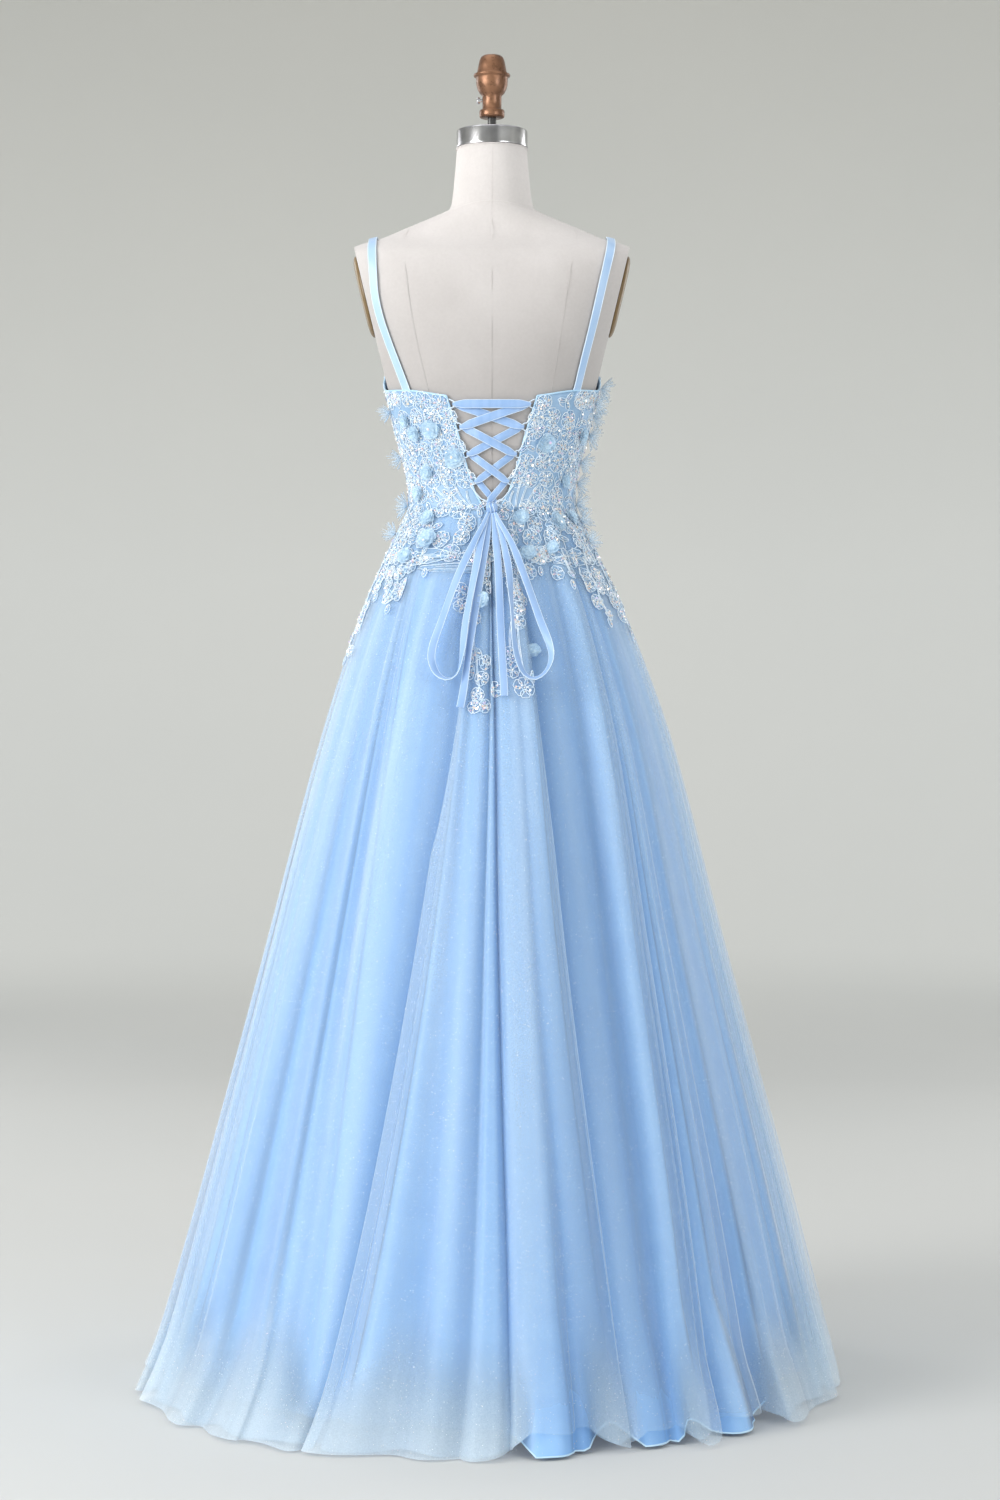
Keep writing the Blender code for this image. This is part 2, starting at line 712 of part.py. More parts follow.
StrapRow = namedtuple("StrapRow", "x z")  # from the bodice's edge to the shoulder's crest
STRAP_BACK_LEFT = [
    StrapRow(0.1168, 1.3468), StrapRow(0.1270, 1.3740), StrapRow(0.1395, 1.4070),
    StrapRow(0.1505, 1.4390), StrapRow(0.1575, 1.4700), StrapRow(0.1600, 1.5000),
    StrapRow(0.1615, 1.5250), StrapRow(0.1620, 1.5385), StrapRow(0.1620, 1.5475),
]
STRAP_BACK_RIGHT = [
    StrapRow(0.1160, 1.3468), StrapRow(0.1240, 1.3800), StrapRow(0.1330, 1.4150),
    StrapRow(0.1410, 1.4480), StrapRow(0.1480, 1.4790), StrapRow(0.1540, 1.5050),
    StrapRow(0.1590, 1.5270), StrapRow(0.1610, 1.5385), StrapRow(0.1620, 1.5475),
]
STRAP_FRONT = [
    StrapRow(0.1180, 1.4400), StrapRow(0.1400, 1.4800), StrapRow(0.1530, 1.5150),
    StrapRow(0.1590, 1.5370), StrapRow(0.1610, 1.5470),
]
STRAP_CREST = Vector((0.1620, 0.0, SHOULDER_Z + 0.0008))


def surface_at(x, z, facing, off):
    """The point on the form's back or front at that x and height, moved out by off."""
    half_width = BODY_CURVES["half_width"](z) + off
    squareness = BODY_CURVES["squareness"](z)
    depth = BODY_CURVES["back" if facing > 0 else "front"](z) + off
    y = depth * (1 - min(1, abs(x / half_width)) ** squareness) ** (1 / squareness)
    if facing < 0:
        y += bust(x, z)
    return Vector((x, facing * y, z))


def strap_outward(point):
    """The way a strap's face looks: out from the body low down, and up at its crest."""
    low = body_outward(point).normalized()
    rise = max(0.0, min(1.0, (point.z - 1.50) / (STRAP_CREST.z - 1.50)))
    flat = Vector((0.25 * math.copysign(1, point.x), point.y / 0.05, 1.0))
    return low.lerp(flat, rise**1.5)


def build_strap(name, side, back_rows):
    """A narrow band over one shoulder, from the back's top edge to the cup's peak."""
    off = STRAP_OFF_FORM + STRAP_WALL / 2
    points = [surface_at(row.x, row.z, 1, off) for row in back_rows]
    points.append(STRAP_CREST + Vector((0, 0, off)))
    points += [surface_at(row.x, row.z, -1, off) for row in reversed(STRAP_FRONT)]
    points.append(body_point(148, top_z(148) + 0.0045, off))
    path = [Vector((side * p.x, p.y, p.z)) for p in smooth_path(points, 22)]
    width_at = tapered(STRAP_WIDTH, STRAP_WIDTH)
    ribbon(name, path, strap_outward, width_at, STRAP_WALL, "satin")


def build_straps():
    build_strap("strap_left", 1, STRAP_BACK_LEFT)
    build_strap("strap_right", -1, STRAP_BACK_RIGHT)


# ---------------------------------------------------------------- the skirt

SKIRT_CURVES = {
    column: Curve(SKIRT, "z", column) for column in ("half_width", "back", "front", "sway")
}
TULLE_HEIGHTS = [1.1797, 1.115, 1.035, 0.920, 0.720, 0.440, 0.080, 0.001]
LINING_HEIGHTS = [1.1797, 1.115, 0.920, 0.440, LINING_HEM_Z]
TULLE_STEPS_BACK = 5  # columns a fold
TULLE_STEPS_FRONT = 4
LINING_STEPS = 3


def drop(z):
    """How far down the skirt a height is, from 0 at the waist to 1 at the floor."""
    return (WAIST_Z - z) / WAIST_Z


def fold_deg(fold, share, z):
    """The angle at which a place in a fold lies at a height; folds fan out downwards."""
    hem_deg = lerp(FOLDS[fold].trough_deg, FOLDS[fold + 1].trough_deg, share)
    return hem_deg - FAN_DEG * (1 - drop(z)) * math.sin(math.radians(2 * hem_deg))


def skirt_reach(deg, z, off=0.0, hem_spread=0.0):
    """The point of the skirt's outer reach at that angle and height, moved out by off."""
    turn = math.radians(deg)
    depth = SKIRT_CURVES["back" if math.cos(turn) > 0 else "front"](z) + off
    half_width = SKIRT_CURVES["half_width"](z) + off
    sway = SKIRT_CURVES["sway"](z)
    spread = 1 + hem_spread * math.sin(2 * turn) ** 2 * max(0.0, 1 - z / HEM_SPREAD_Z)
    across = half_width * math.sin(turn) * spread
    return Vector((across + sway, depth * math.cos(turn) * spread, z))


def skirt_point(fold, share, z, inset, fold_share=1.0, hem_spread=HEM_SPREAD):
    """A point of the skirt: a share of the way across a fold, inset from its outer reach."""
    depth = FOLDS[fold].depth * drop(z) ** 0.9
    bulge = math.sin(math.pi * share) ** 1.15
    point = skirt_reach(fold_deg(fold, share, z), z, 0.0, hem_spread)
    radius = point.xy.length
    lean = FOLDS[fold].lean * depth * bulge / radius
    cosine, sine = math.cos(lean), math.sin(lean)
    across = point.x * cosine + point.y * sine
    along = point.y * cosine - point.x * sine
    shrink = (radius - inset - fold_share * depth * (1 - bulge)) / radius
    return Vector((across * shrink, along * shrink, z))


def skirt_panel(name, folds, steps, heights, layer, material_name):
    """One panel of a skirt layer, from the trough of its first fold to the last one's end."""
    columns = [(f, k / steps) for f in folds for k in range(steps)] + [(folds[-1], 1.0)]
    outer, inner = [], []
    for z in heights:
        outset, wall_thickness, fold_share, spread = layer(z)
        rows = []
        for inset in (outset, outset + wall_thickness):
            row = [skirt_point(f, share, z, inset, fold_share, spread) for f, share in columns]
            for end, sign in ((0, 1), (-1, -1)):
                across = Vector((row[end].y, -row[end].x, 0)).normalized()
                row[end] += across * sign * SEAM_GAP * 0.7
            rows.append(row)
        outer.append(rows[0])
        inner.append(rows[1])
    return wall(name, outer, inner, material_name)


def tulle_layer(z):
    """The tulle's inset, thickness, share of the fold depth and spread at a height."""
    return 0.0, lerp(TULLE_WALL_TOP, TULLE_WALL_HEM, drop(z)), 1.0, HEM_SPREAD


def lining_layer(z):
    """The same for the satin lining."""
    gap = lerp(LINING_GAP_TOP, LINING_GAP_HEM, drop(z) ** 0.85)
    return gap, LINING_WALL, LINING_FOLD_SHARE, 0.0


Panel = namedtuple("Panel", "name first_fold end_fold steps")
PANELS = [  # the folds that lie in each panel of the skirt, and the tulle's columns a fold
    Panel("back_right", 0, 8, TULLE_STEPS_BACK),
    Panel("back_left", 8, 14, TULLE_STEPS_BACK),
    Panel("front", 14, 27, TULLE_STEPS_FRONT),
]


def build_skirt():
    """The tulle skirt over its satin lining, each of a front and two back panels."""
    for panel in PANELS:
        folds = list(range(panel.first_fold, panel.end_fold))
        name, steps = panel.name, panel.steps
        skirt_panel(f"tulle_{name}", folds, steps, TULLE_HEIGHTS, tulle_layer, "tulle")
        skirt_panel(f"lining_{name}", folds, LINING_STEPS, LINING_HEIGHTS, lining_layer, "satin")


# ---------------------------------------------------------------- lace on the hips

LACE_STANDOFF = 0.0017  # between the tulle and the lace that lies on it
LACE_WALL = 0.0012
HIP_LACE_ROWS = 6
HIP_LACE_PIECES = [
    Panel("back_right", 0, 8, TULLE_STEPS_BACK),
    Panel("back_left", 8, 14, TULLE_STEPS_BACK),
    Panel("front_left", 14, 20, TULLE_STEPS_FRONT),
    Panel("front_right", 20, 27, TULLE_STEPS_FRONT),
]


def lace_low(deg):
    """How low the lace on the hips reaches at an angle."""
    low = LACE_EDGE_Z
    for lobe in LACE_LOBES:
        away = abs((deg - lobe.deg + 180) % 360 - 180) / lobe.half_width_deg
        if away < 1:
            low = min(low, LACE_EDGE_Z - (LACE_EDGE_Z - lobe.low_z) * math.sqrt(1 - away**2))
    return low


def tulle_mesh_point(fold, share, z, inset):
    """The point on the tulle's flat facets, between its rows of points."""
    for high, low in zip(TULLE_HEIGHTS, TULLE_HEIGHTS[1:]):
        if z >= low:
            break
    above = skirt_point(fold, share, high, inset)
    below = skirt_point(fold, share, low, inset)
    return above.lerp(below, (high - z) / (high - low))


def build_hip_lace():
    """Four pieces of scalloped lace that lie on the tulle below the waist."""
    for piece in HIP_LACE_PIECES:
        folds = range(piece.first_fold, piece.end_fold)
        columns = [(f, k / piece.steps) for f in folds for k in range(piece.steps)]
        columns.append((piece.end_fold - 1, 1.0))
        outer, inner = [], []
        for i in range(HIP_LACE_ROWS):
            rows = ([], [])
            for j, (fold, share) in enumerate(columns):
                low = lace_low(fold_deg(fold, share, 1.06))
                z = lerp(TULLE_HEIGHTS[0], low, i / (HIP_LACE_ROWS - 1))
                foot = tulle_mesh_point(fold, share, z, -LACE_STANDOFF)
                along = math.atan2(foot.x, foot.y) * foot.xy.length
                edge = i in (0, HIP_LACE_ROWS - 1) or j in (0, len(columns) - 1)
                relief = 0 if edge else lace_relief(along, z)
                thick = LACE_STANDOFF + LACE_WALL + relief
                head = tulle_mesh_point(fold, share, z, -thick)
                rows[0].append(head)
                rows[1].append(foot)
            for row in rows:
                for end, sign in ((0, 1), (-1, -1)):
                    across = Vector((row[end].y, -row[end].x, 0)).normalized()
                    row[end] += across * sign * SEAM_GAP * 0.7
            outer.append(rows[0])
            inner.append(rows[1])
        wall(f"hip_lace_{piece.name}", outer, inner, "lace")


# ---------------------------------------------------------------- the lacing

TAPE_WIDTH = 0.008
TAPE_OFF = 0.0009
TAPE_WALL = 0.0010
LOOP_OFF_TAPE = TAPE_OFF + TAPE_WALL / 2
LOOP_OFF_TIP = 0.0048
UNDER_OFF = 0.0014
CROSS_UNDER_OFF = 0.0028
CROSS_OVER_OFF = 0.0062
OVER_TIP_OFF = 0.0068


def tube(points, radius, sides, bm):
    """Adds a closed tube through the points to a bmesh."""
    rings = []
    for i, point in enumerate(points):
        ahead = (points[min(i + 1, len(points) - 1)] - points[max(i - 1, 0)]).normalized()
        out = (body_outward(point) - ahead * body_outward(point).dot(ahead)).normalized()
        side = ahead.cross(out)
        turns = [2 * math.pi * k / sides for k in range(sides)]
        ring = [point + (out * math.cos(t) + side * math.sin(t)) * radius for t in turns]
        rings.append([bm.verts.new(p) for p in ring])
    for a, b in zip(rings, rings[1:]):
        for k in range(sides):
            bm.faces.new((a[k], a[(k + 1) % sides], b[(k + 1) % sides], b[k]))
    bm.faces.new(rings[0])
    bm.faces.new(rings[-1])


def loop_point(side, z, reach, rise, off):
    """A point of a lacing loop: reach from the panel's edge into the gap, at its height."""
    height = z + rise
    return back_point(side * (lacing_gap(z) - reach), height, off)


def build_loop_tape(name, side):
    """The tape inside one lacing edge, with its five cord loops."""
    outer, inner = [], []
    for i in range(9):
        z = lerp(LOOP_HEIGHTS[-1] - 0.005, LOOP_HEIGHTS[0] + 0.007, i / 8)
        edges = (lacing_gap(z) + 0.001, lacing_gap(z) + 0.001 + TAPE_WIDTH)
        inner.append([back_point(side * x, z, TAPE_OFF) for x in edges])
        outer.append([back_point(side * x, z, TAPE_OFF + TAPE_WALL) for x in edges])
    tape = wall(name, outer, inner, "ribbon")
    for number, z in enumerate(LOOP_HEIGHTS):
        path = smooth_path(
            [
                loop_point(side, z, -0.0045, 0.0036, LOOP_OFF_TAPE),
                loop_point(side, z, 0.0016, 0.0038, LOOP_OFF_TAPE),
                loop_point(side, z, 0.0050, 0.0036, 0.0034),
                loop_point(side, z, LOOP_REACH, 0.0, LOOP_OFF_TIP),
                loop_point(side, z, 0.0050, -0.0036, 0.0034),
                loop_point(side, z, 0.0016, -0.0038, LOOP_OFF_TAPE),
                loop_point(side, z, -0.0045, -0.0036, LOOP_OFF_TAPE),
            ],
            10,
        )
        bm = bmesh.new()
        tube(path, LOOP_CORD_RADIUS, 5, bm)
        cord = place_bmesh(f"{name}_cord_{number}", bm, "ribbon")
        cord.hide_render = True
        union = tape.modifiers.new("Sew", "BOOLEAN")
        union.operation = "UNION"
        union.solver = "EXACT"
        union.object = cord


def lacing_run(name, start_side, start, end, over):
    """One crossing of the ribbon, from a loop on one side to the next one on the other."""
    z_start, z_end = LOOP_HEIGHTS[start], LOOP_HEIGHTS[end]
    middle_off = CROSS_OVER_OFF if over else CROSS_UNDER_OFF
    first = start_side * (lacing_gap(z_start) - LOOP_REACH)
    last = -start_side * (lacing_gap(z_end) - LOOP_REACH)
    to_knot = end == len(LOOP_HEIGHTS) - 1
    stops = [(0.0, UNDER_OFF), (0.3, middle_off), (0.5, middle_off), (0.7, middle_off)]
    stops += [(0.86, middle_off), (1.0, middle_off)] if to_knot else [
        (0.8, middle_off + (0.0 if over else 0.0008)), (1.0, OVER_TIP_OFF)
    ]
    points = [back_point(first + start_side * 0.0042, z_start, UNDER_OFF)]
    for share, off in stops:
        points.append(back_point(lerp(first, last, share), lerp(z_start, z_end, share), off))
    if not to_knot:
        points.append(back_point(last - start_side * 0.0040, z_end, OVER_TIP_OFF))
    path = smooth_path(points, 10)
    ribbon(name, path, body_outward, tapered(RIBBON_WIDTH, 0.0036), RIBBON_WALL, "ribbon")


def build_lacing():
    """Both tapes, eight crossings and the bar at the top."""
    build_loop_tape("loop_tape_left", 1)
    build_loop_tape("loop_tape_right", -1)
    for step in range(4):
        from_right = -1 if step % 2 == 0 else 1
        lacing_run(f"lacing_a{step + 1}", from_right, step, step + 1, step < 2)
        lacing_run(f"lacing_b{step + 1}", -from_right, step, step + 1, step >= 2)
    z = LOOP_HEIGHTS[0]
    tip = lacing_gap(LOOP_HEIGHTS[0]) - LOOP_REACH
    points = [(tip + 0.0038, 0.0072), (tip, 0.0072), (tip * 0.5, 0.0070), (0.0, 0.0068)]
    left = [back_point(x, z, off) for x, off in points]
    right = [back_point(-x, z, off) for x, off in reversed(points[:-1])]
    path = smooth_path(left + right, 15)
    width_at = tapered(RIBBON_WIDTH, 0.0036)
    ribbon("lacing_top_bar", path, body_outward, width_at, RIBBON_WALL, "ribbon")


# ---------------------------------------------------------------- the bow

KNOT_Z = 1.1825
KNOT_OFF = 0.0130
KNOT_HALF = Vector((0.0080, 0.0055, 0.0075))


def skirt_back(x, z, off):
    """The point of the skirt's outer reach at the back at that x and height."""
    half_width = SKIRT_CURVES["half_width"](z) + off
    depth = SKIRT_CURVES["back"](z) + off
    across = (x - SKIRT_CURVES["sway"](z)) / half_width
    return Vector((x, depth * math.sqrt(1 - across * across), z))


def build_knot():
    """The bow's knot, pinched at its waist."""
    bm = bmesh.new()
    bmesh.ops.create_uvsphere(bm, u_segments=10, v_segments=6, radius=1)
    centre = back_point(0, KNOT_Z, KNOT_OFF)
    for vert in bm.verts:
        pinch = 1 - 0.18 * math.exp(-(vert.co.x / 0.35) ** 2)
        vert.co = centre + Vector(
            (vert.co.x * KNOT_HALF.x, vert.co.y * KNOT_HALF.y, vert.co.z * KNOT_HALF.z * pinch)
        )
    place_bmesh("bow_knot", bm, "ribbon")


def build_bow_band(name, turns, width_at, count):
    """One free length of ribbon that hangs from the knot over the skirt."""
    path = smooth_path([skirt_back(turn.x, turn.z, turn.off) for turn in turns], count)
    ribbon(name, path, body_outward, width_at, RIBBON_WALL, "ribbon")


def build_bow():
    build_knot()
    loop_width = tapered(RIBBON_WIDTH, 0.0036)
    tail_width = tapered(RIBBON_WIDTH, 0.0020, both_ends=False)
    build_bow_band("bow_loop_left", BOW_LEFT, loop_width, 30)
    build_bow_band("bow_loop_right", BOW_RIGHT, loop_width, 30)
    build_bow_band("bow_tail_left", TAIL_LEFT, tail_width, 12)
    build_bow_band("bow_tail_right", TAIL_RIGHT, tail_width, 12)


# ---------------------------------------------------------------- the tulle flowers

def build_flower(flower, trees):
    """A five-petalled flower, dished, that faces out from the gown."""
    on_bodice = flower.z > WAIST_Z
    surface = body_point if on_bodice else skirt_reach
    under = BODICE_INNER + BODICE_WALL if on_bodice else LACE_STANDOFF + LACE_WALL
    out = facing(surface, flower.deg, flower.z)
    centre = surface(flower.deg, flower.z, under + LACE_RELIEF)
    side = Vector((0, 0, 1)).cross(out).normalized()
    up = out.cross(side)

    def ring(share, rise, ruffle=0.0):
        points = []
        for k in range(2 * PETALS):
            turn = math.pi * k / PETALS
            radius = flower.radius * share * (1 - 0.16 * (k % 2) * (share > 0.9))
            height = rise + ruffle * (k % 2)
            spoke = side * math.cos(turn) + up * math.sin(turn)
            points.append(bm.verts.new(centre + spoke * radius + out * height))
        return points

    bm = bmesh.new()
    rings = [
        ring(0.32, 0.0000), ring(1.00, 0.0064, 0.0015), ring(1.00, 0.0078, 0.0015),
        ring(0.50, 0.0050),
    ]
    count = 2 * PETALS
    for a, b in zip(rings, rings[1:]):
        for k in range(count):
            bm.faces.new((a[k], a[(k + 1) % count], b[(k + 1) % count], b[k]))
    bm.faces.new(rings[0])
    tip = bm.verts.new(centre + out * 0.0085)
    for k in range(count):
        bm.faces.new((rings[-1][k], rings[-1][(k + 1) % count], tip))
    foot, brim = ([vert.co for vert in ring] for ring in rings[:2])
    between = [low.lerp(high, share) for low, high in zip(foot, brim) for share in (0.3, 0.6)]
    shift = out * seating([centre, *foot, *brim, *between], out, trees)
    bmesh.ops.translate(bm, verts=bm.verts, vec=shift)
    place_bmesh(flower.name, bm, "tulle")


# ---------------------------------------------------------------- assembly


def clear_scene():
    for item in list(bpy.data.objects):
        bpy.data.objects.remove(item, do_unlink=True)


def main():
    clear_scene()
    build_torso()
    build_armhole_plates()
    build_neck_fittings()
    build_stand()
    build_bodice()
    build_straps()
    build_skirt()
    build_hip_lace()
    build_lacing()
    build_bow()
    lace_trees = surface_trees(("bodice_", "hip_lace_"))
    for flower in FLOWERS:
        build_flower(flower, lace_trees)


main()
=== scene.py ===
"""The looks of a lace-up ball gown on its dress form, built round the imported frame.

Metres, +Z up, in the frame's own axes: the gown faces -Y, its laced back faces +Y and the
wearer's left is +X. Angles round the body are measured from the middle of the back towards
+X, in degrees. An angle of the skirt's cloth is the one at which that thread meets the hem.
"""

import logging
import random
from bisect import bisect_right
from collections.abc import Callable, Sequence
from dataclasses import dataclass, field
from enum import Enum
from functools import cache
from math import asin, copysign, cos, degrees, exp, pi, radians, remainder, sin, sqrt

import bmesh
import bpy
import numpy as np
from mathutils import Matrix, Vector, noise


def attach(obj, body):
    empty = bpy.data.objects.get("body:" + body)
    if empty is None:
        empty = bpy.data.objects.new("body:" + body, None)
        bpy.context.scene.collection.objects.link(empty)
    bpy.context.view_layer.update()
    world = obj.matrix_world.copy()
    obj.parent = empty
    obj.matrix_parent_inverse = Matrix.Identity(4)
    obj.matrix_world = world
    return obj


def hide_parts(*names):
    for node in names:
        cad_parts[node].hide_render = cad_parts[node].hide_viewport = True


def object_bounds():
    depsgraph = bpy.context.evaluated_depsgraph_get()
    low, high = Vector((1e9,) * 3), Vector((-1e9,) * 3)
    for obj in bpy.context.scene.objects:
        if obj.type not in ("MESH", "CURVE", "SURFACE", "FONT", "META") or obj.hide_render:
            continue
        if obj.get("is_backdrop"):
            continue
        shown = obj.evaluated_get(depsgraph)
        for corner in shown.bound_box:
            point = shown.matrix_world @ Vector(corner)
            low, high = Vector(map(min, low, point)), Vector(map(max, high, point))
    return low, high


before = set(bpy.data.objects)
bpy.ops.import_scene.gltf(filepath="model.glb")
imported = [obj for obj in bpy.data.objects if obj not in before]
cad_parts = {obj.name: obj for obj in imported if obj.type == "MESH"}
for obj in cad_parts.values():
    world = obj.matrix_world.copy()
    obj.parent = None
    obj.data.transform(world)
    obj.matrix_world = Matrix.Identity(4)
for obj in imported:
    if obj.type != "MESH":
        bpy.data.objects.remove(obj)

CAD_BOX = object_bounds()
BODY = "root"
log = logging.getLogger("gown")

WAIST_Z = 1.18
Face = Callable[[float, float, float], Vector]  # angle, height and off to a point
Colour = tuple[float, float, float]
Socket = bpy.types.NodeSocket
FLOAT, COLOUR = "NodeSocketFloat", "NodeSocketColor"


class Slot(Enum):
    """The material slots."""

    TULLE = "tulle"
    SATIN = "satin"
    LACE = "lace"
    RIBBON = "ribbon"
    LINEN = "linen"
    STEEL = "steel"
    BRONZE = "bronze"
    BLACK_STEEL = "black_steel"
    WOOD = "wood"


class Bloom(Enum):
    """How a tulle flower's petals are cut."""

    ROUND = "round"
    FRAYED = "frayed"


# ------------------------------ measuring helpers


def lerp(a: float, b: float, t: float) -> float:
    """The value a share t of the way from a to b."""
    return a + (b - a) * t


def bell(x: float, middle: float, width: float) -> float:
    """A smooth bump that is 1 at its middle and fades over the width."""
    return exp(-(((x - middle) / width) ** 2))


def turns(count: int, start: float = 0.0) -> list[float]:
    """Evenly spaced turns round a circle, in radians."""
    return [2 * pi * (k + start) / count for k in range(count)]


def around_z(turn: float, radius: float = 1.0, z: float = 0.0) -> Vector:
    """The point at a turn round the Z axis."""
    return Vector((radius * cos(turn), radius * sin(turn), z))


def level_out(point: Vector) -> Vector:
    """The level way from the Z axis out to a point."""
    return Vector((point.x, point.y, 0)).normalized()


def heading(path: Sequence[Vector], i: int, closed: bool = False) -> Vector:
    """The way that a path runs at one of its points."""
    if closed:
        return path[(i + 1) % len(path)] - path[i - 1]
    return path[min(i + 1, len(path) - 1)] - path[max(i - 1, 0)]


class Profile:
    """A smooth curve through a table's points that never overshoots them."""

    def __init__(self, pairs: Sequence[tuple[float, float]]) -> None:
        """Sets the curve out.

        Args:
            pairs: where each point is, and its value there.
        """
        self.at, self.values = map(list, zip(*sorted(pairs)))
        spans = zip(self.at, self.at[1:], self.values, self.values[1:])
        rises = [(w - v) / (b - a) for a, b, v, w in spans]
        inner = [2 * a * b / (a + b) if a * b > 0 else 0.0 for a, b in zip(rises, rises[1:])]
        self.slopes = [rises[0], *inner, rises[-1]]

    def __call__(self, x: float) -> float:
        """The curve's value at a place.

        Args:
            x: the place; outside the table, the nearest end counts.

        Returns:
            The value.
        """
        x = min(max(x, self.at[0]), self.at[-1])
        i = min(bisect_right(self.at, x) - 1, len(self.at) - 2)
        step = self.at[i + 1] - self.at[i]
        t = (x - self.at[i]) / step
        return (
            (1 + 2 * t) * (1 - t) ** 2 * self.values[i] + t * (1 - t) ** 2 * self.slopes[i] * step
            + t * t * (3 - 2 * t) * self.values[i + 1] + t * t * (t - 1) * self.slopes[i + 1] * step
        )

    @classmethod
    def of_columns(cls, rows: Sequence[tuple]) -> "list[Profile]":
        """A curve for each column of a table, along its first column."""
        return [cls([(row[0], row[k]) for row in rows]) for k in range(1, len(rows[0]))]


def smooth_path(points: Sequence[Vector], count: int) -> list[Vector]:
    """Evenly spaced points on a smooth curve through the given ones.

    Args:
        points: the points that the curve goes through.
        count: how many to give.

    Returns:
        The points, ends included.
    """
    ends = [points[0] * 2 - points[1], *points, points[-1] * 2 - points[-2]]
    fine = []
    for a, b, c, d in zip(ends, ends[1:], ends[2:], ends[3:]):
        for t in (k / 12 for k in range(12)):
            bend, twist = 2 * a - 5 * b + 4 * c - d, 3 * b - 3 * c + d - a
            fine.append(0.5 * (2 * b + (c - a) * t + bend * t**2 + twist * t**3))
    fine.append(points[-1].copy())
    along = np.concatenate([[0.0], np.cumsum([(q - p).length for p, q in zip(fine, fine[1:])])])
    wanted = np.linspace(0, along[-1], count)
    return [Vector(p) for p in zip(*(np.interp(wanted, along, [p[k] for p in fine]) for k in range(3)))]


def path_length(path: Sequence[Vector]) -> float:
    """The length of a line through the points."""
    return sum((b - a).length for a, b in zip(path, path[1:]))


# ------------------------------ shapes


def hang(name: str, data: bpy.types.ID) -> bpy.types.Object:
    """Puts a new object in the scene.

    Args:
        name: the object's name.
        data: its mesh, lamp or camera.

    Returns:
        The object.
    """
    made = bpy.data.objects.new(name, data)
    bpy.context.scene.collection.objects.link(made)
    return made


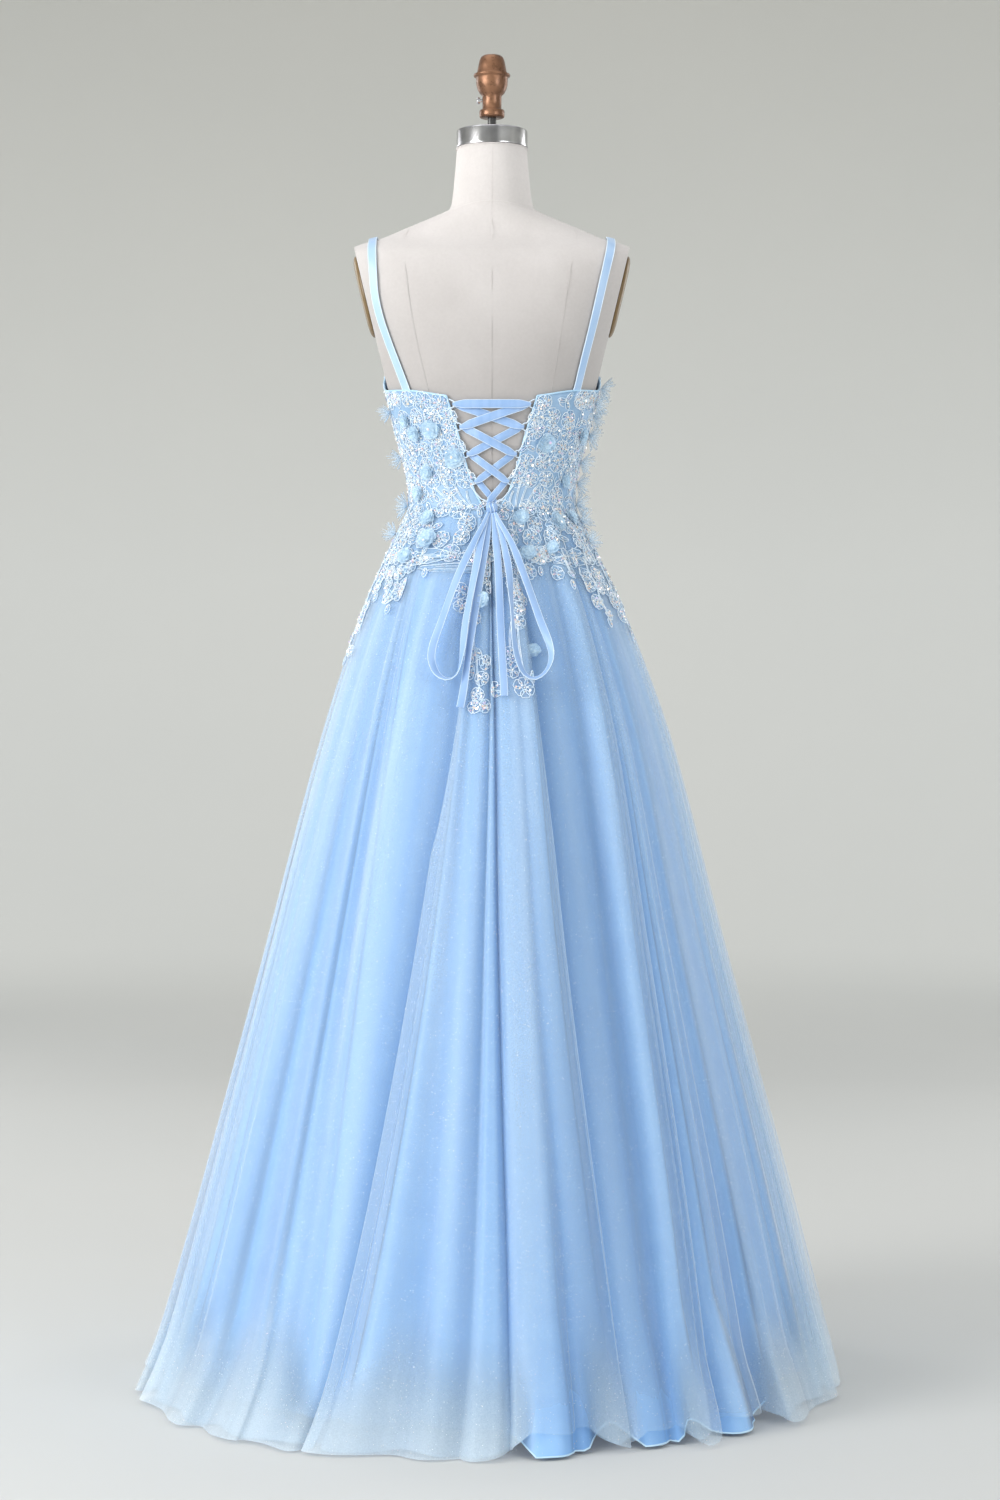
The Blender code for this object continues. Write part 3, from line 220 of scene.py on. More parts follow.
@dataclass
class Shape:
    """Points and faces gathered for one mesh, with the number of each face's finish."""

    points: list[Vector] = field(default_factory=list)
    faces: list[tuple[int, ...]] = field(default_factory=list)
    finishes: list[int] = field(default_factory=list)

    def face(self, corners: Sequence[int], finish: int = 0) -> None:
        """Adds one face through points that are already there."""
        self.faces.append(tuple(corners))
        self.finishes.append(finish)

    def grid(self, rows: Sequence[Sequence[Vector]], finish: int = 0, closed: bool = False) -> None:
        """Adds a sheet through rows of points.

        Args:
            rows: the rows from the top down, each with the same number of points.
            finish: the number of its finish.
            closed: whether each row's last point joins its first.
        """
        start, width = len(self.points), len(rows[0])
        for row in rows:
            self.points.extend(row)
        for low in range(start, len(self.points) - width, width):
            for j in range(width if closed else width - 1):
                k = (j + 1) % width
                self.face((low + j, low + k, low + width + k, low + width + j), finish)

    def tube(self, rings: Sequence[Sequence[Vector]], finish: int = 0) -> None:
        """Adds a closed form through rings of points, with a flat face at each end.

        Args:
            rings: the rings, each with the same number of points.
            finish: the number of its finish.
        """
        start, size = len(self.points), len(rings[0])
        self.grid(rings, finish, closed=True)
        self.face(range(start, start + size), finish)
        self.face(range(len(self.points) - size, len(self.points)), finish)

    def cord(
        self, path: Sequence[Vector], outward: Vector | Callable[[Vector], Vector], radius: float,
        sides: int = 4, closed: bool = False, finish: int = 0,
    ) -> None:
        """Adds a round cord along a path that lies on a surface.

        Args:
            path: the cord's middle line.
            outward: the way that the surface faces, or what gives it at a point.
            radius: the cord's radius.
            sides: how many sides its section has.
            closed: whether the path's last point joins its first.
            finish: the number of its finish.
        """
        rings = []
        for i, point in enumerate(path):
            ahead = heading(path, i, closed)
            side = (outward(point) if callable(outward) else outward).cross(ahead).normalized()
            up = ahead.cross(side).normalized()
            ring = [point + (side * cos(t) + up * sin(t)) * radius for t in turns(sides, 0.5)]
            rings.append(ring)
        if closed:
            self.grid([*rings, rings[0]], finish, closed=True)
        else:
            self.tube(rings, finish)

    def band(
        self, path: Sequence[Vector], outward: Callable[[Vector], Vector],
        width_at: Callable[[float], float], wall: float = 0.0006, crown: float = 0.0005,
        roll_at: Callable[[float], float] | None = None, edges: "Shape | None" = None,
    ) -> None:
        """Adds a ribbon along a path, with a fine corded edge on each side.

        Args:
            path: the ribbon's middle line.
            outward: gives the way that the ribbon's face looks at a point.
            width_at: gives the width a share of the way along.
            wall: how thick it is.
            crown: how far its middle stands over its edges.
            roll_at: gives how far it is rolled over, in degrees, a share of the way along.
            edges: where the edges' cords go, with finish 0; None for here, with finish 1.
        """
        rings, left_edge, right_edge, facing = [], [], [], []
        for i, point in enumerate(path):
            share, ahead = i / (len(path) - 1), heading(path, i)
            side = outward(point).normalized().cross(ahead).normalized()
            up = ahead.cross(side).normalized()
            if roll_at is not None:
                cosine, sine = cos(radians(roll_at(share))), sin(radians(roll_at(share)))
                side, up = side * cosine + up * sine, up * cosine - side * sine
            half = width_at(share) / 2
            places = [(k / 3 - 1, point + side * (half * (k / 3 - 1))) for k in range(7)]
            middle = [place + up * (crown * (0.6 - t * t)) for t, place in places]
            under = [place - up * (wall / 2) for place in middle]
            rings.append([place + up * (wall / 2) for place in middle] + under[::-1])
            facing.append(up)
            left_edge.append(point + side * half - up * (crown * 0.4))
            right_edge.append(point - side * half - up * (crown * 0.4))
        self.tube(rings)
        into, finish = (self, 1) if edges is None else (edges, 0)
        for line in (left_edge, right_edge):
            lookup = dict(zip([tuple(p) for p in line], facing))
            into.cord(line, lambda p, at=lookup: at[tuple(p)], wall * 0.85, 5, False, finish)

    def disc(self, centre: Vector, facing: Vector, radius: float, sides: int = 6) -> None:
        """Adds one small flat disc, such as a sequin or a flake of glitter.

        Args:
            centre: its middle.
            facing: the way that it faces.
            radius: its size.
            sides: how many corners it has.
        """
        side = facing.orthogonal().normalized()
        up, start = facing.cross(side).normalized(), len(self.points)
        self.points.extend([centre + (side * cos(t) + up * sin(t)) * radius for t in turns(sides)])
        self.face(range(start, start + sides))

    def piece(
        self, name: str, finishes: Sequence["Finish"], replaces: Sequence[str] = (),
        smooth_deg: float | None = 50.0, closed: bool = False,
    ) -> bpy.types.Object:
        """Makes the gathered shape a piece of the model.

        Args:
            name: the piece's name.
            finishes: the finishes that the faces' numbers stand for.
            replaces: the CAD nodes that it stands for.
            smooth_deg: edges sharper than this stay sharp; None smooths them all.
            closed: whether its faces are turned to point out of a closed form.

        Returns:
            The piece, riding on the body.
        """
        mesh = bpy.data.meshes.new(name)
        mesh.from_pydata(self.points, [], self.faces)
        mesh.polygons.foreach_set("material_index", self.finishes)
        if closed:
            bm = bmesh.new()
            bm.from_mesh(mesh)
            bmesh.ops.remove_doubles(bm, verts=bm.verts, dist=1e-7)
            bmesh.ops.recalc_face_normals(bm, faces=bm.faces)
            bm.to_mesh(mesh)
            bm.free()
        mesh.shade_smooth()
        if smooth_deg is not None:
            mesh.set_sharp_from_angle(angle=radians(smooth_deg))
        for finish in finishes:
            mesh.materials.append(finish.material())
        made = hang(name, mesh)
        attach(made, BODY)
        if replaces:
            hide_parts(*replaces)
        log.info("%s: %d faces", name, len(mesh.polygons))
        return made


# ------------------------------ node boards


class Board:
    """Adds nodes to one tree and joins them as they are added."""

    def __init__(self, tree: bpy.types.NodeTree) -> None:
        """Takes the tree to work on."""
        self.tree = tree

    def add(self, kind: str, sockets: dict | None = None, **settings: object) -> bpy.types.Node:
        """Adds a node.

        Args:
            kind: the node's type, without its first word.
            sockets: values or other nodes' outputs, by input name or number.
            settings: the node's own properties.

        Returns:
            The new node.
        """
        node = self.tree.nodes.new(f"ShaderNode{kind}")
        for name, value in settings.items():
            setattr(node, name, value)
        self.feed(node, sockets or {})
        return node

    def feed(self, node: bpy.types.Node, sockets: dict) -> None:
        """Joins outputs to a node's inputs, or sets the inputs' own values.

        Args:
            node: the node.
            sockets: values or other nodes' outputs, by input name or number.
        """
        for name, value in sockets.items():
            if isinstance(value, bpy.types.NodeSocket):
                self.tree.links.new(value, node.inputs[name])
            else:
                node.inputs[name].default_value = value

    def sum(self, operation: str, a: object, b: object = 0.0) -> Socket:
        """The output of one step of arithmetic on numbers or outputs."""
        return self.add("Math", {0: a, 1: b}, operation=operation).outputs[0]

    def weighed(self, *pairs: tuple[Socket, float]) -> Socket:
        """The sum of outputs, each times its weight."""
        total, *others = [self.sum("MULTIPLY", value, weight) for value, weight in pairs]
        for other in others:
            total = self.sum("ADD", total, other)
        return total

    def vector(self, operation: str, a: object, b: object, socket: object = 1) -> Socket:
        """The output of one step of arithmetic on vectors."""
        return self.add("VectorMath", {0: a, socket: b}, operation=operation).outputs[0]

    def between(
        self, value: object, low: float, high: float, from_low: float = 0.0, from_high: float = 1.0
    ) -> Socket:
        """A value carried from one range to another, and held inside it.

        Args:
            value: the value.
            low: what the start of the first range becomes.
            high: what its end becomes.
            from_low: the start of the first range.
            from_high: its end.

        Returns:
            The node's output.
        """
        return self.add("MapRange", {0: value, 1: from_low, 2: from_high, 3: low, 4: high}).outputs[0]

    def blend(self, share: object, a: object, b: object) -> Socket:
        """A colour that is a share of the way from a to b."""
        ends = [end if isinstance(end, bpy.types.NodeSocket) else (*end, 1.0) for end in (a, b)]
        return self.add("Mix", {0: share, 6: ends[0], 7: ends[1]}, data_type="RGBA").outputs[2]

    def place(self) -> Socket:
        """The surface's place in the frame."""
        return self.add("TexCoord").outputs["Object"]

    def parts(self) -> Sequence[Socket]:
        """The surface's place in the frame, as X, Y and Z."""
        return self.add("SeparateXYZ", {0: self.place()}).outputs

    def cloud(self, where: Socket, scale: object, detail: float, roughness: float = 0.5) -> Socket:
        """Soft noise round its middle value."""
        sockets = {"Vector": where, "Scale": scale, "Detail": detail, "Roughness": roughness}
        return self.add("TexNoise", sockets).outputs[0]

    def cells(self, scale: object) -> tuple[Socket, Sequence[Socket]]:
        """Small scattered cells: the distance from each one's middle, and numbers drawn for it."""
        found = self.add("TexVoronoi", {"Vector": self.place(), "Scale": scale}).outputs
        return found["Distance"], self.add("SeparateColor", {0: found["Color"]}).outputs

    def bump(self, height: object, strength: float, distance: float) -> Socket:
        """A normal from a height."""
        sockets = {"Height": height, "Strength": strength, "Distance": distance}
        return self.add("Bump", sockets).outputs["Normal"]

    def use(self, effect: Callable[[], bpy.types.NodeTree], **values: object) -> Sequence[Socket]:
        """Places a shared effect.

        Args:
            effect: gives the effect's node group.
            values: the group's inputs, by name.

        Returns:
            The group's outputs.
        """
        node = self.add("Group", node_tree=effect())
        self.feed(node, {name.capitalize(): value for name, value in values.items()})
        return node.outputs

    def streaks(self, across: float, along: float) -> Socket:
        """Streaks down the cloth, from 0 to 1."""
        return self.use(hanging_streaks, across=across, along=along)[0]

    def mottle(self, scale: float) -> Socket:
        """Clouds over the surface, from 0 to 1."""
        return self.use(cloudy_mottle, scale=scale)[0]

    def weave(self, threads: float, strength: float, distance: float) -> Socket:
        """A normal with woven threads in relief."""
        return self.bump(self.use(woven_threads, threads=threads)[0], strength, distance)


def shared(name: str, inputs: dict[str, float], outputs: dict[str, str]) -> Callable:
    """Makes a function that draws an effect into one that gives its node group, built once.

    Args:
        name: the group's name.
        inputs: the default of each number that it takes, by name.
        outputs: the socket type of each thing that it gives, by name.

    Returns:
        What wraps the function.
    """

    def wrap(draw: Callable) -> Callable[[], bpy.types.NodeTree]:
        """Wraps a function that takes a board and the group's inputs, and returns its outputs."""

        @cache
        def group() -> bpy.types.NodeTree:
            """The group, made the first time it is asked for."""
            tree = bpy.data.node_groups.new(name, "ShaderNodeTree")
            for label, value in inputs.items():
                socket = tree.interface.new_socket(name=label, in_out="INPUT", socket_type=FLOAT)
                socket.default_value = value
            for label, kind in outputs.items():
                tree.interface.new_socket(name=label, in_out="OUTPUT", socket_type=kind)
            board = Board(tree)
            taken, given = tree.nodes.new("NodeGroupInput"), tree.nodes.new("NodeGroupOutput")
            board.feed(given, dict(zip(outputs, draw(board, taken.outputs))))
            return tree

        return group

    return wrap


@shared("woven_threads", {"Threads": 1500.0}, {"Height": FLOAT})
def woven_threads(board: Board, taken: Sequence[Socket]) -> tuple:
    """Threads over and under each other, round the body and down it."""
    x, y, z = board.parts()
    round_body = board.sum("MULTIPLY", board.sum("ARCTAN2", x, y), 0.16)
    waves = []
    for along in (round_body, z):
        beats = board.sum("MULTIPLY", along, taken["Threads"])
        waves.append(board.sum("SINE", board.sum("MULTIPLY", beats, pi)))
    return (board.between(board.sum("MULTIPLY", *waves), 0.0, 1.0, -1.0, 1.0),)


@shared("hanging_streaks", {"Across": 14.0, "Along": 1.2}, {"Value": FLOAT})
def hanging_streaks(board: Board, taken: Sequence[Socket]) -> tuple:
    """Soft streaks that run down the cloth and fan out with it, from 0 to 1."""
    x, y, z = board.parts()
    ring = board.vector("NORMALIZE", board.add("CombineXYZ", {0: x, 1: y}).outputs[0], (0, 0, 0))
    spread = board.vector("SCALE", ring, taken["Across"], "Scale")
    fall = board.add("CombineXYZ", {2: board.sum("MULTIPLY", z, taken["Along"])}).outputs[0]
    cloud = board.cloud(board.vector("ADD", spread, fall), 1.0, 1.5, 0.45)
    return (board.between(cloud, 0.0, 1.0, 0.3, 0.7),)


@shared("fold_shade", {"Strength": 1.0}, {"Tint": COLOUR, "Thin": FLOAT})
def fold_shade(board: Board, taken: Sequence[Socket]) -> tuple:
    """The shade deep in the cloth's folds, and where the cloth thins out."""
    depth, thin = (
        board.add("Attribute", attribute_name=word).outputs["Fac"] for word in ("fold_depth", "thinning")
    )
    shade = board.sum("MULTIPLY", depth, taken["Strength"])
    return board.blend(shade, (1.0, 1.0, 1.0), (0.4, 0.56, 0.73)), thin


@shared("glitter_specks", {"Cells": 300.0, "Size": 0.11, "Share": 0.3}, {"Mask": FLOAT, "Tint": COLOUR})
def glitter_specks(board: Board, taken: Sequence[Socket]) -> tuple:
    """Scattered specks of glitter: where they are, and their pale tints."""
    distance, lot = board.cells(taken["Cells"])
    near = board.sum("LESS_THAN", distance, taken["Size"])
    drawn = board.sum("LESS_THAN", lot[0], taken["Share"])
    tint = board.blend(lot[1], (1.0, 0.86, 0.74), (0.86, 0.96, 1.0))
    return board.sum("MULTIPLY", near, drawn), tint


@shared("cloudy_mottle", {"Scale": 20.0}, {"Value": FLOAT})
def cloudy_mottle(board: Board, taken: Sequence[Socket]) -> tuple:
    """Cloudy unevenness of a dyed or rubbed surface, from 0 to 1."""
    return (board.between(board.cloud(board.place(), taken["Scale"], 4.0), 0.0, 1.0, 0.32, 0.68),)


@shared("pearly_foil", {"Cells": 260.0}, {"Color": COLOUR, "Value": FLOAT})
def pearly_foil(board: Board, taken: Sequence[Socket]) -> tuple:
    """The colours of pearly foil, which change from one small place to the next."""
    lot = board.cells(taken["Cells"])[1]
    ramp = board.add("ValToRGB", {0: lot[0]})
    hues = (
        (0.0, (0.93, 0.97, 1.0)), (0.25, (1.0, 0.9, 0.74)), (0.4, (0.98, 0.7, 0.6)),
        (0.55, (0.76, 0.62, 0.95)), (0.7, (0.58, 0.84, 0.97)), (0.85, (1.0, 0.97, 0.9)),
    )
    while len(ramp.color_ramp.elements) < len(hues):
        ramp.color_ramp.elements.new(0.5)
    for stop, (at, colour) in zip(ramp.color_ramp.elements, hues):
        stop.position, stop.color = at, (*colour, 1.0)
    return ramp.outputs[0], lot[1]


# ------------------------------ finishes


@dataclass(frozen=True)
class Finish:
    """What a surface is made of; its material is built once and shared."""

    name: str
    slot: Slot | None
    light: Colour = (0.8, 0.8, 0.8)
    deep: Colour = (0.6, 0.6, 0.6)

    def material(self) -> bpy.types.Material:
        """The finish's material, made the first time it is asked for."""
        made = bpy.data.materials.get(self.name)
        if not made:
            made = bpy.data.materials.new(self.name)
            made.use_nodes = True
            board = Board(made.node_tree)
            board.feed(made.node_tree.nodes["Principled BSDF"], self.dress(board))
        return made

    def tone(self, board: Board, share: Socket) -> Socket:
        """The colour a share of the way from the deep one to the light one."""
        return board.blend(share, self.deep, self.light)

    def dress(self, board: Board) -> dict:
        """Draws what changes over the surface.

        Args:
            board: the board of the finish's own material.

        Returns:
            The shader's inputs by name: numbers, or other nodes' outputs.
        """
        raise NotImplementedError


@dataclass(frozen=True)
class SheerTulle(Finish):
    """Glittered net, soft and see-through, with denser streaks where it gathers."""

    light: Colour = (0.72, 0.86, 0.97)
    deep: Colour = (0.46, 0.69, 0.93)
    airy: Colour = (0.74, 0.86, 0.96)  # at the hem, where several layers of its edge lie; also the paler colour painted as sheen where the net is seen edge-on
    cover_low: float = 0.15
    cover_high: float = 0.3
    thinnest: float = 0.8  # share of the cover near the hem, where the net is spread out
    thickest: float = 1.4  # and at the waist, where it is gathered
    crushed: float = 2.4  # and how much denser it is where it lies crushed on the floor
    edge_on: float = 0.8  # how far the cover closes, and the colour is painted lighter as sheen, where the net is seen along its face
    glitter: float = 0.3
    sheen: float = 0.3
    shaded: float = 0.8

    def dress(self, board: Board) -> dict:
        """Streaks set its cover and depth of colour, specks of glitter lie on it, and where it is seen
        edge-on its colour is painted paler as sheen.
        """
        broad, fine = board.streaks(7.0, 0.9), board.streaks(50.0, 1.0)
        streaks = board.weighed((broad, 0.6), (fine, 0.1), (board.mottle(560.0), 0.3))
        specks = board.use(glitter_specks, share=self.glitter)
        facing = board.add("LayerWeight", {"Blend": 0.35}).outputs["Facing"]
        # where the net is seen edge-on, its cover closes and its colour is painted lighter and paler as
        # sheen
        turned = board.between(facing, 0.0, self.edge_on, 0.5, 1.0)
        pale = board.between(facing, 0.0, 0.9, 0.32, 0.95)
        folds = board.use(fold_shade, strength=self.shaded)
        net = self.tone(board, board.sum("MAXIMUM", streaks, turned))
        net = board.blend(pale, board.vector("MULTIPLY", net, folds["Tint"]), self.airy)
        net = board.blend(board.sum("MULTIPLY", folds["Thin"], 0.6), net, self.airy)
        cover = board.between(streaks, self.cover_low, self.cover_high)
        gathered = board.between(board.parts()["Z"], self.thinnest, self.thickest, 0.0, WAIST_Z)
        crushed = board.between(folds["Thin"], 1.0, self.crushed)
        cover = board.sum("MULTIPLY", board.sum("MULTIPLY", cover, gathered), crushed)
        cover = board.sum("MAXIMUM", cover, turned)
        return {
            "Base Color": board.blend(specks["Mask"], net, specks["Tint"]),
            "Alpha": board.sum("MAXIMUM", cover, specks["Mask"]),
            "Roughness": board.between(specks["Mask"], 0.62, 0.22),
            "Normal": board.weave(900.0, 0.12, 0.0003),
            "Sheen Weight": self.sheen, "Sheen Roughness": 0.35, "Specular IOR Level": 0.2,
        }


@dataclass(frozen=True)
class SoftSatin(Finish):
    """Close satin, with a soft gloss that varies down the cloth."""

    light: Colour = (0.35, 0.6, 0.93)
    deep: Colour = (0.25, 0.48, 0.85)
    threads: float = 2600.0
    gloss_low: float = 0.32
    gloss_high: float = 0.46
    sheen: float = 0.25
    edge_fade: float = 0.0  # how far it gives way to the tulle at its outline
    hem_fade: float = 0.0  # and at its hem

    def dress(self, board: Board) -> dict:
        """Streaks and mottle vary the colour, and the weave gives it grain."""
        clouds = board.mottle(30.0)
        mixed = board.weighed((board.streaks(16.0, 1.4), 0.6), (clouds, 0.4))
        folds = board.use(fold_shade, strength=1.0)
        looks = {
            "Base Color": board.vector("MULTIPLY", self.tone(board, mixed), folds["Tint"]),
            "Roughness": board.between(clouds, self.gloss_low, self.gloss_high),
            "Normal": board.weave(self.threads, 0.12, 0.0002),
            "Sheen Weight": self.sheen, "Sheen Roughness": 0.3,
        }
        if self.edge_fade:
            facing = board.add("LayerWeight", {"Blend": 0.5}).outputs["Facing"]
            outline = board.between(facing, 0.0, self.edge_fade, 0.42, 0.88)
            gone = board.sum("MAXIMUM", outline, board.sum("MULTIPLY", folds["Thin"], self.hem_fade))
            looks["Alpha"] = board.sum("SUBTRACT", 1.0, gone)
        return looks


@dataclass(frozen=True)
class LaceThread(Finish):
    """Shiny embroidery thread, twisted, in pale blue and white."""

    light: Colour = (0.92, 0.96, 1.0)
    deep: Colour = (0.58, 0.78, 0.96)
    cover: float = 1.0

    def dress(self, board: Board) -> dict:
        """Two pale threads lie side by side, and their twist shows as fine relief."""
        clouds = board.mottle(150.0)
        return {
            "Base Color": self.tone(board, clouds),
            "Roughness": board.between(clouds, 0.5, 0.3),
            "Normal": board.bump(board.cloud(board.place(), 900.0, 2.0), 0.4, 0.0004),
            "Alpha": self.cover, "Sheen Weight": 0.3,
        }


@dataclass(frozen=True)
class PearlSequin(Finish):
    """Thin pearly foil, bright and many-coloured."""

    cells: float = 300.0
    metallic: float = 0.3

    def dress(self, board: Board) -> dict:
        """Each small place takes a hue and a gloss of its own."""
        foil = board.use(pearly_foil, cells=self.cells)
        return {
            "Base Color": foil["Color"], "Roughness": board.between(foil["Value"], 0.1, 0.34),
            "Metallic": self.metallic, "Coat Weight": 0.6, "Coat Roughness": 0.08,
        }


@dataclass(frozen=True)
class PetalTulle(Finish):
    """Crisp tulle of the sewn-on flowers, clearer blue than the skirt."""

    light: Colour = (0.66, 0.84, 0.97)
    deep: Colour = (0.48, 0.71, 0.93)
    cover_low: float = 0.4
    cover_high: float = 0.75

    def dress(self, board: Board) -> dict:
        """Cloudy cover, as in doubled net."""
        clouds = board.mottle(210.0)
        return {
            "Base Color": self.tone(board, clouds),
            "Alpha": board.between(clouds, self.cover_low, self.cover_high),
            "Normal": board.weave(1200.0, 0.25, 0.0003), "Roughness": 0.5, "Sheen Weight": 0.4,
        }


@dataclass(frozen=True)
class FormLinen(Finish):
    """The form's close linen cover, a little uneven in tone."""

    light: Colour = (0.68, 0.647, 0.635)
    deep: Colour = (0.6, 0.567, 0.555)
    threads: float = 1100.0
    low_painted_shade: float = 0.7  # share of its tone that painted shade leaves low on the torso; painted light brightens it towards the neck

    def dress(self, board: Board) -> dict:
        """Slubs and clouds in the tone, painted shade low on the torso and painted light towards the neck,
        and a plain weave.
        """
        slubs = board.mottle(260.0)
        tone = self.tone(board, board.weighed((board.mottle(14.0), 0.65), (slubs, 0.35)))
        # painted shade and light by height: darker low on the torso, brighter up at the neck
        painted_light_by_height = board.between(board.parts()["Z"], self.low_painted_shade, 1.08, 1.33, 1.64)
        return {
            "Base Color": board.vector("SCALE", tone, painted_light_by_height, "Scale"),
            "Roughness": board.between(slubs, 0.78, 0.9),
            "Normal": board.weave(self.threads, 0.25, 0.0004), "Sheen Weight": 0.15,
        }


@dataclass(frozen=True)
class TurnedMetal(Finish):
    """Turned metal: polished steel, or aged bronze, with painted reflections in bands round it."""

    light: Colour = (0.86, 0.86, 0.88)
    deep: Colour = (0.2, 0.2, 0.22)
    rough_low: float = 0.16
    rough_high: float = 0.28
    # how close the bands of painted reflection lie round the piece
    reflection_bands: float = 3.2
    mottle: float = 30.0
    metallic: float = 1.0

    def dress(self, board: Board) -> dict:
        """Bands of painted reflection round the piece, over cloudy wear."""
        clouds = board.mottle(self.mottle)
        # painted reflection bands, mixed with cloudy wear
        mixed = board.weighed((board.streaks(self.reflection_bands, 0.4), 0.6), (clouds, 0.4))
        return {
            "Base Color": self.tone(board, mixed),
            "Roughness": board.between(clouds, self.rough_low, self.rough_high),
            "Normal": board.bump(clouds, 0.08, 0.0006), "Metallic": self.metallic,
        }


@dataclass(frozen=True)
class CoatedPart(Finish):
    """Satin paint or varnish over a grain that shows faintly."""

    light: Colour = (0.05, 0.05, 0.05)
    deep: Colour = (0.02, 0.02, 0.02)
    grain: float = 60.0
    rough: float = 0.4
    coat: float = 0.3

    def dress(self, board: Board) -> dict:
        """Grain under the coat, and small unevenness in its gloss."""
        where = board.add("Mapping", {"Vector": board.place(), "Scale": (1.0, 1.0, 0.12)}).outputs[0]
        grain = board.cloud(where, self.grain, 5.0)
        return {
            "Base Color": self.tone(board, grain), "Coat Weight": self.coat,
            "Roughness": board.between(grain, self.rough - 0.08, self.rough + 0.08),
        }


@dataclass(frozen=True)
class BackdropPaper(Finish):
    """The studio's pale paper, with a glow that fades up its wall."""

    light: Colour = (0.63, 0.635, 0.62)
    deep: Colour = (0.6, 0.61, 0.6)
    low_glow: Colour = (0.195, 0.198, 0.19)
    high_glow: Colour = (0.05, 0.042, 0.024)

    def dress(self, board: Board) -> dict:
        """Faint clouds, and a glow that starts well behind the gown."""
        x, y, z = board.parts()
        level = board.add("CombineXYZ", {0: x, 1: y}).outputs[0]
        reach = board.add("VectorMath", {0: level}, operation="LENGTH").outputs["Value"]
        lit = board.blend(board.between(z, 0.0, 1.0, 1.5, 4.6), self.low_glow, self.high_glow)
        glow = board.between(reach, 0.0, 1.0, 3.4, 6.6)
        return {
            "Base Color": self.tone(board, board.mottle(0.4)), "Roughness": 0.85,
            "Emission Color": board.blend(glow, (0.0, 0.0, 0.0), lit), "Emission Strength": 1.0,
        }


OUTER_TULLE = SheerTulle("glitter_tulle", Slot.TULLE)
UNDER_TULLE = SheerTulle(
    "plain_tulle", Slot.TULLE, light=(0.58, 0.79, 0.97), deep=(0.38, 0.62, 0.91), glitter=0.1,
    cover_low=0.18, cover_high=0.32, edge_on=0.5, sheen=0.15,
)
NET_GROUND = SheerTulle(
    "lace_net", Slot.LACE, light=(0.52, 0.73, 0.94), deep=(0.38, 0.61, 0.88), glitter=0.5,
    cover_low=0.1, cover_high=0.22,
)
LINING_SATIN = SoftSatin("lining_satin", Slot.SATIN, edge_fade=0.6, hem_fade=0.85)
# pale satin on the lining's rolled hem: a painted highlight along its edge
HEM_HIGHLIGHT_SATIN = SoftSatin("hem_highlight_satin", Slot.SATIN, light=(0.62, 0.84, 1.0), deep=(0.5, 0.76, 0.98))
BODICE_SATIN = SoftSatin(
    "bodice_satin", Slot.LACE, light=(0.33, 0.5, 0.71), deep=(0.24, 0.41, 0.63), sheen=0.3
)
PIPING_SATIN = SoftSatin("piping_satin", Slot.LACE, light=(0.55, 0.78, 0.97), deep=(0.42, 0.68, 0.94))
STRAP_SATIN = SoftSatin("strap_satin", Slot.SATIN, light=(0.46, 0.64, 0.89), deep=(0.37, 0.56, 0.84))
RIBBON_SATIN = SoftSatin(
    "ribbon_satin", Slot.RIBBON, light=(0.36, 0.53, 0.82), deep=(0.26, 0.43, 0.74), threads=3000.0
)
RIBBON_EDGE = SoftSatin(
    "ribbon_edge", Slot.RIBBON, light=(0.76, 0.87, 0.98), deep=(0.64, 0.79, 0.95), threads=3000.0
)
LACE_CORD = LaceThread("lace_cord", Slot.LACE)
LACE_STITCH = LaceThread(
    "lace_stitch", Slot.LACE, light=(0.47, 0.68, 0.91), deep=(0.28, 0.51, 0.81), cover=0.4
)
SEQUIN = PearlSequin("pearl_sequin", Slot.LACE)
FLAKE = PearlSequin("glitter_flake", Slot.TULLE, cells=120.0, metallic=0.2)
PETAL_TULLE = PetalTulle("petal_tulle", Slot.TULLE)
WISP_TULLE = PetalTulle(
    "wisp_tulle", Slot.TULLE, light=(0.76, 0.88, 0.98), deep=(0.6, 0.78, 0.95), cover_low=0.2,
    cover_high=0.5,
)
LINEN = FormLinen("form_linen", Slot.LINEN)
SEAM_LINEN = FormLinen("seam_linen", Slot.LINEN, light=(0.72, 0.69, 0.68), deep=(0.64, 0.61, 0.6))
POLISHED_STEEL = TurnedMetal("polished_steel", Slot.STEEL)
AGED_BRONZE = TurnedMetal(
    "aged_bronze", Slot.BRONZE, light=(0.33, 0.165, 0.09), deep=(0.12, 0.055, 0.03),
    rough_low=0.22, rough_high=0.45, reflection_bands=1.2, mottle=110.0, metallic=0.5,
)
BLACK_PAINT = CoatedPart("black_paint", Slot.BLACK_STEEL)
VARNISHED_WOOD = CoatedPart(
    "varnished_wood", Slot.WOOD, light=(0.26, 0.165, 0.06), deep=(0.1, 0.06, 0.022), grain=90.0
)
BACKDROP_PAPER = BackdropPaper("backdrop_paper", None)


# ------------------------------ the form's and the skirt's shape


